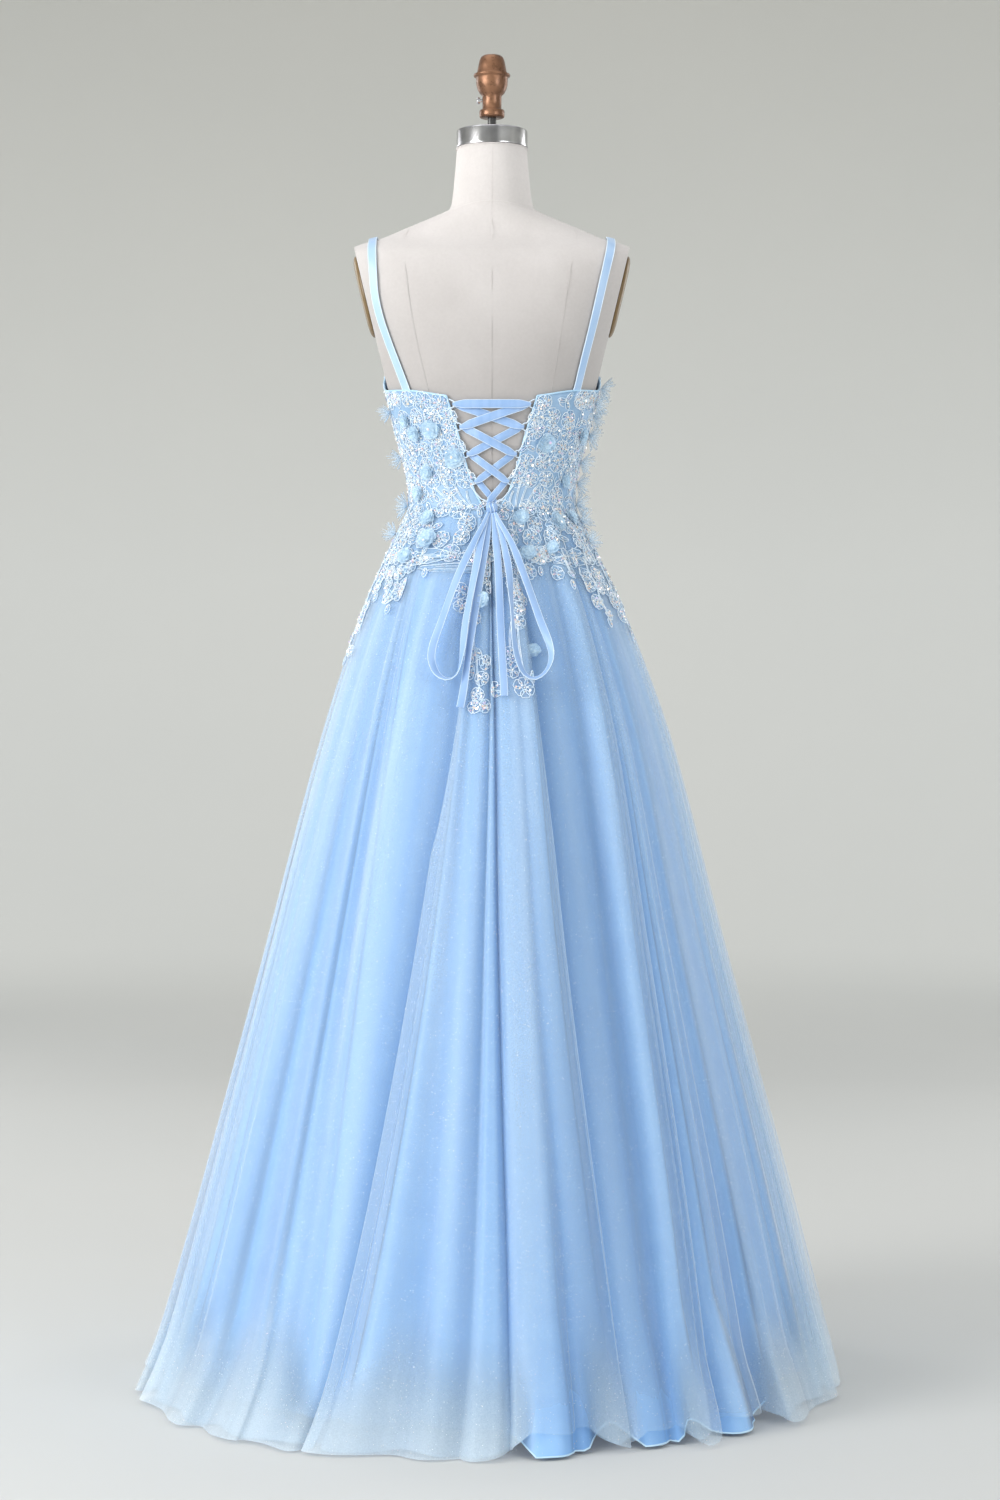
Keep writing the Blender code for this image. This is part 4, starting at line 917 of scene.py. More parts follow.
class FormShape:
    """The padded form's outer face, by angle and height."""

    # height, half width, depth behind, depth in front, squareness
    SECTIONS = (
        (0.86, 0.155, 0.104, 0.086, 2.0), (0.95, 0.171, 0.118, 0.094, 2.0),
        (1.03, 0.163, 0.112, 0.092, 2.0), (1.11, 0.134, 0.094, 0.085, 2.0),
        (1.18, 0.1115, 0.0805, 0.0805, 2.0), (1.205, 0.109, 0.079, 0.079, 2.0),
        (1.24, 0.114, 0.081, 0.083, 2.05), (1.282, 0.1255, 0.085, 0.09, 2.15),
        (1.34, 0.1395, 0.092, 0.098, 2.3), (1.4, 0.16, 0.099, 0.1, 2.4),
        (1.45, 0.182, 0.101, 0.094, 2.5), (1.5, 0.2, 0.094, 0.08, 2.5),
        (1.53, 0.208, 0.078, 0.062, 2.5), (1.544, 0.188, 0.064, 0.051, 2.4),
        (1.5535, 0.156, 0.056, 0.046, 2.3), (1.569, 0.119, 0.051, 0.044, 2.2),
        (1.584, 0.083, 0.05, 0.046, 2.1), (1.596, 0.058, 0.05, 0.048, 2.0),
        (1.608, 0.0545, 0.05, 0.049, 2.0), (1.64, 0.051, 0.0485, 0.0485, 2.0),
        (1.6795, 0.0478, 0.0478, 0.0478, 2.0),
    )
    BUST_X, BUST_Z = 0.074, 1.325
    BUST_SPREAD_X, BUST_SPREAD_Z = 0.046, 0.052
    BUST_FULLNESS = 0.03
    CUP_BRIDGING = 25.0  # cloth that stands off the form is this much fuller a metre

    def __init__(self) -> None:
        """Sets out the form's curves."""
        self.half_width, self.back, self.front, self.squareness = Profile.of_columns(self.SECTIONS)

    def depth(self, facing: float, z: float) -> float:
        """How deep the form is at a height: behind, or in front if facing is under 0."""
        return (self.back if facing > 0 else self.front)(z)

    def bust(self, x: float, z: float) -> float:
        """How far the bust stands forward of the plain section."""
        across = (abs(x) - self.BUST_X) / self.BUST_SPREAD_X
        down = (z - self.BUST_Z) / self.BUST_SPREAD_Z
        return self.BUST_FULLNESS * exp(-across * across - down * down)

    def point(self, deg: float, z: float, off: float = 0.0) -> Vector:
        """The point on the form at an angle and height.

        Args:
            deg: the angle.
            z: the height.
            off: how far off the form it lies.

        Returns:
            The point.
        """
        power = 2 / self.squareness(z)
        sine, cosine = sin(radians(deg)), cos(radians(deg))
        x = (self.half_width(z) + off) * copysign(abs(sine) ** power, sine)
        y = (self.depth(cosine, z) + off) * copysign(abs(cosine) ** power, cosine)
        if cosine < 0:
            y -= self.bust(x, z) * min(1.0, -3 * cosine) * (1 + self.CUP_BRIDGING * off)
        return Vector((x, y, z))

    def level_point(self, x: float, z: float, off: float, facing: int = 1) -> Vector:
        """The point of the form's back or front at an x and height.

        Args:
            x: how far to the side it is.
            z: the height.
            off: how far off the form it lies.
            facing: 1 for the back, -1 for the front.

        Returns:
            The point.
        """
        share = min(1.0, abs(x / (self.half_width(z) + off)))
        squareness = self.squareness(z)
        y = (self.depth(facing, z) + off) * (1 - share**squareness) ** (1 / squareness)
        return Vector((x, facing * (y + self.bust(x, z) if facing < 0 else y), z))

    def outward(self, point: Vector) -> Vector:
        """The level way that the form's surface faces near a point."""
        power = self.squareness(point.z) - 1
        sizes = ((point.x, self.half_width(point.z)), (point.y, self.depth(point.y, point.z)))
        across, along = (copysign(abs(at / size) ** power, at) / size for at, size in sizes)
        return Vector((across, along, 0)).normalized()

    def deg_at(self, x: float, z: float, off: float) -> float:
        """The angle at which the form's back has that x, at that height and off."""
        share = abs(x) / (self.half_width(z) + off)
        return copysign(degrees(asin(min(1.0, share) ** (self.squareness(z) / 2))), x)


@dataclass(frozen=True)
class Fold:
    """One fold of the skirt, from the trough that it starts at to the next one."""

    trough_deg: float  # where the trough meets the hem
    depth_top: float  # the trough's depth near the waist, before it fades into the gathers
    depth_hem: float
    lean: float = 0.0  # which way the ridge leans, and how far
    back: float = 0.0  # how far its ridge lies over the trough behind it
    ahead: float = 0.0  # and over the one ahead, as a share of its width
    flat: float = 1.0  # more than 1 for a flat top
    sink: float = 0.0  # how far in its top lies near the waist, as a share of the depth
    sink_hem: float = 0.0


class SkirtShape:
    """The skirt's cloth, by the angle of its thread at the hem and by height."""

    # height, half width, depth behind, depth in front, sway along X
    FLARE = (
        (1.18, 0.1159, 0.0849, 0.0849, 0.0), (1.145, 0.134, 0.101, 0.096, 0.0),
        (1.11, 0.151, 0.117, 0.108, 0.0), (1.04, 0.183, 0.145, 0.131, -0.002),
        (0.97, 0.21, 0.171, 0.155, -0.003), (0.87, 0.2435, 0.206, 0.19, -0.0045),
        (0.6, 0.316, 0.296, 0.282, -0.003), (0.32, 0.392, 0.384, 0.37, -0.003),
        (0.05, 0.466, 0.468, 0.454, 0.001), (0.0, 0.481, 0.49, 0.471, 0.006),
    )
    FOLDS = (
        Fold(-90.0, 0.012, 0.02, 0.2), Fold(-77.0, 0.014, 0.018, -0.2),
        Fold(-64.0, 0.012, 0.02, 0.3, ahead=0.3),
        Fold(-51.0, 0.018, 0.036, 0.3, ahead=0.1, flat=1.4),
        Fold(-39.5, 0.044, 0.034, 0.1, back=0.05, ahead=0.2, flat=1.7),
        Fold(-30.5, 0.056, 0.032, 0.0, flat=1.6, sink=0.8, sink_hem=0.5),
        Fold(-23.0, 0.058, 0.034, -0.1, back=0.22, flat=2.0, sink_hem=0.75),
        Fold(-14.0, 0.002, 0.03, 0.0, back=0.15, ahead=0.25, flat=2.6),
        Fold(-3.4, 0.032, 0.02, 0.0, flat=2.4, sink=0.4, sink_hem=0.1),
        Fold(4.0, 0.026, 0.018, sink=0.5, sink_hem=0.2),
        Fold(13.5, 0.006, 0.024, 0.4, ahead=0.3, flat=1.4), Fold(27.3, 0.066, 0.028, -0.35, back=0.1),
        Fold(38.0, 0.02, 0.012, -0.3, back=0.25), Fold(50.0, 0.024, 0.024, -0.2, back=0.2),
        Fold(62.0, 0.01, 0.016, 0.2), Fold(74.0, 0.014, 0.02, -0.3, back=0.3),
        Fold(88.0, 0.014, 0.024, 0.2), Fold(102.0, 0.03, 0.026, -0.3, back=0.4),
        Fold(117.0, 0.02, 0.024, 0.2), Fold(131.0, 0.04, 0.03, 0.3, ahead=0.5),
        Fold(146.0, 0.016, 0.022, -0.3), Fold(158.0, 0.03, 0.028, 0.2, ahead=0.4),
        Fold(171.0, 0.036, 0.03, 0.0, back=0.3, ahead=0.3, flat=1.6),
        Fold(184.0, 0.034, 0.024, -0.3, back=0.5), Fold(197.0, 0.014, 0.02, 0.3),
        Fold(210.0, 0.032, 0.03, -0.2, back=0.4), Fold(224.0, 0.02, 0.026, 0.3),
        Fold(239.0, 0.036, 0.03, -0.3, back=0.5), Fold(254.0, 0.018, 0.024, 0.2),
        Fold(270.0, 0.012, 0.02, 0.2),
    )
    # how far each thread at the back lies from its place at the hem, up at the waist, in degrees
    BACK_DRIFT = Profile((
        (-90, 0), (-51, -1), (-37, -7.5), (-29, -3), (-23, 9), (-14, 7), (-4, 4.5), (0, 1),
        (4, -3), (13.5, -9), (20, -14), (27.3, -18), (31, 8), (38, 5), (46, 0), (90, 0),
    ))
    FAN_DEG = 16.0  # the same for the front, at most
    HEM_SPREAD_Z = 0.09
    SKEW = 2.4  # how much a fold's lean moves its ridge across it
    LAP_STARTS, LAP_FULL = 0.2, 0.38  # how far down the skirt the folds start to overlap

    def __init__(self) -> None:
        """Sets out the skirt's curves."""
        self.half_width, self.back, self.front, self.sway = Profile.of_columns(self.FLARE)
        self.troughs = [fold.trough_deg for fold in self.FOLDS]

    @staticmethod
    def drop(z: float) -> float:
        """How far down the skirt a height is, from 0 at the waist to 1 at the floor."""
        return max(0.0, (WAIST_Z - z) / WAIST_Z)

    def fan(self, cloth_deg: float, z: float) -> float:
        """The angle at which a thread of the cloth lies at a height."""
        if cloth_deg < 90:
            return cloth_deg + self.BACK_DRIFT(cloth_deg) * (1 - self.drop(z))
        return cloth_deg - self.FAN_DEG * (1 - self.drop(z)) * sin(radians(2 * cloth_deg))

    def cloth_deg(self, deg: float, z: float) -> float:
        """The thread of the cloth that lies at an angle at a height.

        Args:
            deg: the angle.
            z: the height.

        Returns:
            The thread, by its angle at the hem.
        """
        low, high = deg - 30.0, deg + 30.0
        for _ in range(24):
            middle = (low + high) / 2
            low, high = (middle, high) if self.fan(middle, z) < deg else (low, middle)
        return low

    def reach(self, deg: float, z: float, off: float = 0.0, spread: float = 0.0) -> Vector:
        """The point of the skirt's outer reach at an angle and height.

        Args:
            deg: the angle.
            z: the height.
            off: how far off the reach it lies.
            spread: how much further the hem lies out between its sides.

        Returns:
            The point.
        """
        turn = radians(deg)
        depth = (self.back if cos(turn) > 0 else self.front)(z) + off
        wide = 1 + spread * sin(2 * turn) ** 2 * max(0.0, 1 - z / self.HEM_SPREAD_Z)
        half_width = self.half_width(z) + off
        return Vector((half_width * sin(turn) * wide + self.sway(z), depth * cos(turn) * wide, z))

    def back_reach(self, x: float, z: float, off: float) -> Vector:
        """The point of the skirt's outer reach at the back at that x and height."""
        across = (x - self.sway(z)) / (self.half_width(z) + off)
        return Vector((x, (self.back(z) + off) * sqrt(1 - across * across), z))

    def depth_at(self, fold: Fold, z: float) -> float:
        """How deep a fold's trough is at a height."""
        down = self.drop(z)
        return lerp(fold.depth_top, fold.depth_hem, down**1.4) * down**0.6

    def point(
        self, cloth_deg: float, z: float, inset: float, fold_share: float, spread: float, lap_share: float
    ) -> Vector:
        """A point of the folded cloth.

        Args:
            cloth_deg: the thread, by its angle at the hem.
            z: the height.
            inset: how far inside the outer reach it lies on a fold's ridge.
            fold_share: the share of the folds' full depth that this layer has.
            spread: how much further the hem lies out between its sides.
            lap_share: the share of the folds' overlap that this layer has.

        Returns:
            The point.
        """
        sunk, shift = self.fold_at(cloth_deg, z)
        point = self.reach(self.fan(cloth_deg + lap_share * shift, z), z, 0.0, spread)
        radius = point.xy.length
        shrink = (radius - inset - fold_share * sunk) / radius
        return Vector((point.x * shrink, point.y * shrink, z))

    def fold_at(self, cloth_deg: float, z: float) -> tuple[float, float]:
        """How a fold moves a thread.

        Args:
            cloth_deg: the thread, by its angle at the hem.
            z: the height.

        Returns:
            How far in it lies, in metres, and how far the overlap moves it, in degrees.
        """
        wrapped = (cloth_deg + 90.0) % 360.0 - 90.0
        i = min(bisect_right(self.troughs, wrapped) - 1, len(self.FOLDS) - 2)
        fold, following = self.FOLDS[i : i + 2]
        width = following.trough_deg - fold.trough_deg
        share = min(1.0, max(0.0, (wrapped - fold.trough_deg) / width))
        between = share * share * (3 - 2 * share)
        depth = lerp(self.depth_at(fold, z), self.depth_at(following, z), between)
        skew = 1 + self.SKEW * abs(fold.lean)
        leaned = share**skew if fold.lean > 0 else 1 - (1 - share) ** skew
        bulge = 1 - (1 - sin(pi * leaned) ** 1.15) ** fold.flat
        lap = (self.drop(z) - self.LAP_STARTS) / (self.LAP_FULL - self.LAP_STARTS)
        lap = width * min(1.0, max(0.0, lap)) * bulge * bulge
        shift = lap * (fold.ahead * share - fold.back * (1 - share))
        sink = lerp(fold.sink, fold.sink_hem, self.drop(z))
        return depth * (1 - bulge * (1 - sink)), shift

    def ripple(self, cloth_deg: float, z: float, seed: float, broad: float, fine: float) -> float:
        """How far small gathers move the cloth out at a place.

        Args:
            cloth_deg: the thread, by its angle at the hem.
            z: the height.
            seed: tells one layer's gathers from another's.
            broad: the reach of the soft gathers.
            fine: the reach of the narrow creases.

        Returns:
            The distance, in metres.
        """
        ring = around_z(radians(cloth_deg))
        soft = noise.noise(ring * 7.0 + Vector((seed, 0.0, z * 0.9)))
        crease = noise.noise(ring * 24.0 + Vector((0.0, seed, z * 0.7)))
        return (broad * soft + fine * crease) * self.drop(z) ** 0.5


FORM, SKIRT = FormShape(), SkirtShape()


# ------------------------------ studio


@dataclass
class Studio:
    """The camera, the soft lights and the pale round backdrop."""

    eye: tuple[float, float, float] = (-0.011, 4.0, 0.905)
    tilt_deg: float = -0.69
    lens: float = 70.0
    floor_radius: float = 6.0
    cove_radius: float = 3.0
    wall_top: float = 9.0
    # name, where it hangs, where it points, width, height, watts, colour
    lights: tuple = (
        ("key_softbox", (3.9, 2.3, 2.3), (0, 0, 0.95), 1.8, 2.8, 134.0, (1.0, 0.985, 0.97)),
        ("fill_softbox", (-3.0, 3.6, 1.6), (0, 0, 0.95), 2.0, 2.6, 60.0, (0.97, 0.98, 1.0)),
        ("top_softbox", (0.6, 0.4, 4.6), (0, 0, 0.95), 3.0, 3.0, 26.0, (1.0, 1.0, 1.0)),
        ("left_rim", (3.0, -2.8, 1.8), (0, 0, 0.95), 1.6, 2.6, 34.0, (1.0, 1.0, 1.0)),
        ("right_rim", (-3.2, -2.4, 1.8), (0, 0, 0.95), 1.6, 2.6, 34.0, (1.0, 1.0, 1.0)),
        ("floor_wash", (1.9, 2.2, 1.7), (0.8, 0.9, 0), 1.0, 1.0, 20.0, (0.98, 0.99, 1.0)),
    )

    def build_camera(self) -> None:
        """Sets the camera behind the gown, at the height of its hips."""
        camera = hang("camera", bpy.data.cameras.new("camera"))
        camera.data.lens = self.lens
        camera.location = self.eye
        camera.rotation_euler = (radians(90 + self.tilt_deg), 0, pi)
        bpy.context.scene.camera = camera

    def build_lights(self) -> None:
        """Hangs the softboxes, each turned to where it points, in a pale room."""
        for name, where, target, width, height, watts, colour in self.lights:
            data = bpy.data.lights.new(name, "AREA")
            data.shape, data.energy, data.color = "RECTANGLE", watts, colour
            data.size, data.size_y = width, height
            lamp = hang(name, data)
            lamp.location, lamp.visible_camera = where, False
            lamp.rotation_euler = (Vector(target) - Vector(where)).to_track_quat("-Z", "Y").to_euler()
        world = bpy.data.worlds.new("room")
        world.use_nodes = True
        sky = world.node_tree.nodes["Background"]
        Board(world.node_tree).feed(sky, {"Color": (0.97, 0.985, 1.0, 1), "Strength": 0.66})
        bpy.context.scene.world = world

    def build_backdrop(self) -> None:
        """A round floor that curves up into a pale wall."""
        floor, cove = self.floor_radius, self.cove_radius
        outline = [(0.0, 0.0), (1.5, 0.0), (3.0, 0.0), (floor, 0.0)]
        outline += [(floor + cove * sin(t), cove * (1 - cos(t))) for t in turns(48)[1:13]]
        outline.append((floor + cove, self.wall_top))
        shape = Shape()
        shape.grid([[around_z(t, radius, z) for t in turns(96)] for radius, z in outline], closed=True)
        mesh = bpy.data.meshes.new("backdrop")
        mesh.from_pydata(shape.points, [], shape.faces)
        mesh.shade_smooth()
        mesh.materials.append(BACKDROP_PAPER.material())
        hang("backdrop", mesh)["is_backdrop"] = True

    def build(self) -> None:
        """Builds the camera, the lights and the backdrop."""
        self.build_camera()
        self.build_lights()
        self.build_backdrop()
        bpy.context.scene.view_settings.view_transform = "Standard"
        bpy.context.scene.cycles.transparent_max_bounces = 32


# ------------------------------ the bow


@dataclass
class Bow:
    """The knot at the waist, with its two loops and two tails of free ribbon."""

    flat_width: float = 0.0105
    width: float = 0.0092  # as it lies, a little curled
    end_width: float = 0.0036
    tail_start_width: float = 0.002
    knot_z: float = 1.1825
    knot_off: float = 0.013
    knot_half: tuple[float, float, float] = (0.008, 0.0055, 0.0075)
    # x, height and off the skirt's outer reach, from the knot outwards
    loop_left: tuple = (
        (0.0045, 1.1757, 0.0084), (0.011, 1.16, 0.0122), (0.026, 1.13, 0.014),
        (0.046, 1.086, 0.0145), (0.066, 1.03, 0.014), (0.077, 0.998, 0.013),
        (0.079, 0.978, 0.0125), (0.072, 0.96, 0.012), (0.058, 0.952, 0.0118),
        (0.045, 0.96, 0.0116), (0.039, 0.986, 0.0116), (0.034, 1.03, 0.0114),
        (0.024, 1.085, 0.011), (0.0155, 1.13, 0.0104), (0.0085, 1.16, 0.0086),
        (0.0045, 1.1757, 0.0057),
    )
    loop_right: tuple = (
        (-0.0045, 1.1757, 0.0084), (-0.012, 1.16, 0.0122), (-0.028, 1.13, 0.014),
        (-0.046, 1.082, 0.0145), (-0.064, 1.03, 0.014), (-0.076, 0.998, 0.013),
        (-0.078, 0.978, 0.0125), (-0.069, 0.96, 0.012), (-0.054, 0.953, 0.0118),
        (-0.04, 0.964, 0.0116), (-0.031, 0.996, 0.0116), (-0.0265, 1.05, 0.0114),
        (-0.023, 1.095, 0.011), (-0.0165, 1.13, 0.0104), (-0.009, 1.16, 0.0086),
        (-0.0045, 1.1757, 0.0057),
    )
    tail_left: tuple = (
        (0.00135, 1.1756, 0.0069), (0.005, 1.15, 0.006), (0.0115, 1.11, 0.0055),
        (0.027, 1.01, 0.0055), (0.0365, 0.94, 0.0055), (0.041, 0.915, 0.0055),
    )
    tail_right: tuple = (
        (-0.00135, 1.1756, 0.0069), (-0.004, 1.15, 0.006), (-0.0085, 1.105, 0.0055),
        (-0.0115, 1.03, 0.0055), (-0.016, 0.945, 0.0055), (-0.0165, 0.93, 0.0055),
    )
    # each ribbon's name, real length as cut, and rolls: degrees, where along it, and how far they fade
    ribbons: tuple = (
        ("loop_left", 0.52, ((20, 0.28, 0.1), (-78, 0.53, 0.09), (-30, 0.75, 0.1))),
        ("loop_right", 0.52, ((-14, 0.25, 0.1), (76, 0.47, 0.1), (62, 0.7, 0.1))),
        ("tail_left", 0.28, ((26, 0.75, 0.15),)),
        ("tail_right", 0.265, ((-12, 0.6, 0.2),)),
    )

    def loop_width(self, share: float) -> float:
        """A loop's width: narrow at both ends, where the knot pleats it."""
        return lerp(self.width, self.end_width, max(0.0, 1 - 7 * min(share, 1 - share)))

    def tail_width(self, share: float) -> float:
        """A tail's width: narrow where it leaves the knot."""
        return lerp(self.width, self.tail_start_width, max(0.0, 1 - 6 * share))

    def build_ribbon(self, name: str, length: float, rolls: tuple) -> None:
        """One free length of ribbon over the skirt.

        Args:
            name: which loop or tail it is.
            length: its real length, as cut; not used.
            rolls: how far it is rolled over, in degrees, where, and how far that fades.
        """
        is_loop = name.startswith("loop")
        route = [SKIRT.back_reach(x, z, off) for x, z, off in getattr(self, name)]
        path = smooth_path(route, 72 if is_loop else 34)
        shape = Shape()
        shape.band(
            path, FORM.outward, self.loop_width if is_loop else self.tail_width, crown=0.0006,
            roll_at=lambda s: sum(deg * bell(s, middle, fade) for deg, middle, fade in rolls),
        )
        made = shape.piece(f"bow_{name}_ribbon", [RIBBON_SATIN, RIBBON_EDGE], [f"bow_{name}"], closed=True)
        tuple(path[0])
        [tuple(p) for p in path]
        log.info("bow_%s lies along %.3f m", name, path_length(path))

    def build_knot(self) -> None:
        """The knot: ribbon wrapped round itself, with soft creases into its waist."""
        centre = FORM.level_point(0, self.knot_z, self.knot_off)
        half_x, half_y, half_z = self.knot_half
        shape, rows = Shape(), []
        for tilt in (pi * (0.02 + 0.96 * i / 16) for i in range(17)):
            pinched = sin(tilt) ** 0.8 * (1 - 0.18 * bell(cos(tilt), 0, 0.35))
            row = []
            for turn in turns(28):
                girth = pinched * (1 + 0.07 * sin(5 * turn + 3 * cos(tilt)))
                place = (half_x * cos(tilt), half_y * girth * cos(turn), half_z * girth * sin(turn))
                row.append(centre + Vector(place))
            rows.append(row)
        shape.tube(rows)
        for offset in (-0.0024, 0.0024):
            wrap = [(offset + 0.0012 * sin(2 * t), 0.0054 * cos(t), 0.007 * sin(t)) for t in turns(24)]
            line = [centre + Vector(place) for place in wrap]
            shape.cord(line, Vector((1, 0.01, 0.02)), 0.0006, 5, True, 1)
        shape.piece("bow_knot_wrap", [RIBBON_SATIN, RIBBON_EDGE], ["bow_knot"], closed=True)

    def build(self) -> None:
        """Builds the free ribbon first, then its knot."""
        for ribbon in self.ribbons:
            self.build_ribbon(*ribbon)
        self.build_knot()


# ------------------------------ the dress form


@dataclass
class DressForm:
    """The linen torso and neck, with its cap, finial, armhole plates and stand."""

    armhole_top: Vector = field(default_factory=lambda: Vector((0.1875, 0, 1.541)))
    armhole_tilt_deg: float = 13.4
    plate_centre_z: float = 1.477
    plate_half_height: float = 0.056
    plate_half_depth: float = 0.044
    # share of a plate's size, and height off the linen
    plate_steps: tuple = ((1.0, 0.0003), (1.015, 0.0012), (1.0, 0.0028), (0.95, 0.0046),
                          (0.86, 0.006), (0.7, 0.0068), (0.02, 0.007))
    # radius and height, from the top down
    cap: tuple = (
        (0.0002, 1.703), (0.0425, 1.703), (0.044, 1.7036), (0.0463, 1.7038), (0.0477, 1.7032),
        (0.0485, 1.7016), (0.0485, 1.6828), (0.049, 1.6814), (0.0488, 1.6801), (0.0473, 1.6798),
        (0.0002, 1.6798),
    )
    finial_foot: float = 1.7214
    # radius and height over the foot, from the top down
    finial: tuple = (
        (0.0002, 0.086), (0.007, 0.0858), (0.0118, 0.0848), (0.0148, 0.0828), (0.0164, 0.0798),
        (0.0176, 0.076), (0.019, 0.069), (0.0202, 0.0625), (0.021, 0.0602), (0.0246, 0.0592),
        (0.0252, 0.0578), (0.0246, 0.0562), (0.0222, 0.0552), (0.0216, 0.054), (0.0218, 0.05),
        (0.0212, 0.044), (0.0196, 0.0385), (0.0168, 0.0332), (0.0142, 0.031), (0.0132, 0.0292),
        (0.013, 0.02), (0.013, 0.0122), (0.0138, 0.0112), (0.0164, 0.0102), (0.0172, 0.0088),
        (0.0172, 0.0024), (0.0164, 0.0006), (0.015, 0.0), (0.0002, 0.0),
    )
    # the seams down the back, as x and height
    princess_left: tuple = (
        (0.112, 1.566), (0.119, 1.548), (0.1165, 1.51), (0.11, 1.46), (0.099, 1.4),
        (0.086, 1.345), (0.07, 1.27), (0.058, 1.2),
    )
    princess_right: tuple = (
        (-0.11, 1.566), (-0.113, 1.548), (-0.107, 1.51), (-0.099, 1.46), (-0.09, 1.4),
        (-0.081, 1.345), (-0.068, 1.27), (-0.057, 1.2),
    )
    centre: tuple = (1.672, 1.64, 1.61, 1.594, 1.575, 1.545, 1.5, 1.43, 1.36, 1.28, 1.2)

    def shoulder_ways(self, side: int) -> tuple[Vector, Vector, Vector]:
        """A shoulder's flat end: a point on it, the way it faces and the way up it."""
        cosine, sine = cos(radians(self.armhole_tilt_deg)), sin(radians(self.armhole_tilt_deg))
        place = Vector((side * self.armhole_top.x, 0, self.armhole_top.z))
        return place, Vector((side * cosine, 0, -sine)), Vector((side * sine, 0, cosine))

    def build_torso(self) -> None:
        """The padded torso and neck, flat at the end of each shoulder, with its seams."""
        heights = [lerp(0.86, 1.5, i / 40) for i in range(41)]
        heights += [lerp(1.506, 1.612, i / 26) for i in range(27)]
        heights += [1.625, 1.64, 1.655, 1.668, 1.676, 1.6795]
        shape = Shape()
        shape.tube([[FORM.point(360 * k / 96, z) for k in range(96)] for z in reversed(heights)])
        torso = shape.piece("linen_torso", [LINEN], ["form_torso"], closed=True)
        bm = bmesh.new()
        bm.from_mesh(torso.data)
        for side in (1, -1):
            place, out, _ = self.shoulder_ways(side)
            bmesh.ops.bisect_plane(
                bm, geom=[*bm.verts, *bm.edges, *bm.faces], dist=1e-6, plane_co=place, plane_no=out,
                clear_outer=True,
            )
            bmesh.ops.holes_fill(bm, edges=[e for e in bm.edges if e.is_boundary], sides=0)
        bm.to_mesh(torso.data)
        bm.free()
        torso.data.set_sharp_from_angle(angle=radians(45))

    def build_seams(self) -> None:
        """Fine seams down the back, round the neck and down the front."""
        shape, lines = Shape(), []
        for line in (self.princess_left, self.princess_right):
            lines.append([FORM.level_point(x, z, 0.0002) for x, z in line])
            lines.append([FORM.level_point(x, z - 0.01, 0.0002, -1) for x, z in line[1:]])
        lines += [[FORM.level_point(0.0, z, 0.0002, facing) for z in self.centre] for facing in (1, -1)]
        for line in lines:
            shape.cord(smooth_path(line, 60), FORM.outward, 0.0003, 5)
        rises = [(deg, 0.011 * max(0.0, cos(radians(deg))) ** 2) for deg in range(0, 360, 4)]
        collar = [FORM.point(deg, 1.5895 + rise) for deg, rise in rises]
        shape.cord(collar, FORM.outward, 0.0005, 5, closed=True)
        shape.piece("linen_seams", [SEAM_LINEN], closed=True)

    def build_plates(self) -> None:
        """A varnished oval plate on each shoulder's flat end, with a rounded edge."""
        drop = (self.armhole_top.z - self.plate_centre_z) / cos(radians(self.armhole_tilt_deg))
        for side, name in ((1, "left"), (-1, "right")):
            place, out, up = self.shoulder_ways(side)
            rows = []
            for share, height in self.plate_steps:
                deep, tall = self.plate_half_depth * share, self.plate_half_height * share
                level = place - up * drop + out * height
                rows.append([
                    level + Vector((0, deep * cos(t), 0)) + up * (tall * sin(t)) for t in turns(48)
                ])
            shape = Shape()
            shape.tube(rows)
            node = f"armhole_plate_{name}"
            shape.piece(node, [VARNISHED_WOOD], [f"form_{node}"], closed=True)

    def build_neck(self) -> None:
        """The polished cap, the finial and the frayed edge of the linen under the cap."""
        for name, finish, node, outline, segments in (
            ("neck_cap_steel", POLISHED_STEEL, "form_neck_cap", self.cap, 96),
            ("finial_bronze", AGED_BRONZE, "form_finial",
             [(radius, self.finial_foot + height) for radius, height in self.finial], 64),
        ):
            shape = Shape()
            shape.tube([[around_z(t, radius, z) for t in turns(segments)] for radius, z in outline])
            shape.piece(name, [finish], [node], closed=True)
        rng = random.Random(11)
        ring = []
        for k in range(150):
            z = 1.6778 + rng.uniform(-0.0008, 0.0009)
            ring.append(FORM.point(2.4 * k, z, 0.0003 + rng.uniform(0, 0.0005)))
        edge = Shape()
        edge.cord(ring, FORM.outward, 0.0008, 5, closed=True)
        edge.piece("linen_edge", [LINEN], closed=True)

    def dress_carried_nodes(self) -> None:
        """Gives the small parts that stay as they are their finishes."""
        for name in ("rod", "pole", "base", "clamp_screw"):
            finish = POLISHED_STEEL if name == "clamp_screw" else BLACK_PAINT
            for socket in bpy.data.objects[f"form_{name}"].material_slots:
                socket.material = finish.material()

    def build(self) -> None:
        """Builds and dresses the form."""
        self.build_torso()
        self.build_seams()
        self.build_plates()
        self.build_neck()
        self.dress_carried_nodes()


# ------------------------------ the skirt


@dataclass(frozen=True)
class Gore:
    """One panel of the skirt: its threads from and to, and how it was cut."""

    name: str
    start_deg: float
    end_deg: float
    waist_width: float
    hem_width: float
    length: float


@dataclass(frozen=True)
class Layer:
    """One layer of the skirt: how it hangs inside its outer reach."""

    name: str
    node: str
    inset_top: float
    inset_hem: float
    fold_share: float
    spread: float
    seed: float
    broad: float
    fine: float
    finish: Finish
    lap_share: float = 0.0
    step_deg: float = 0.6


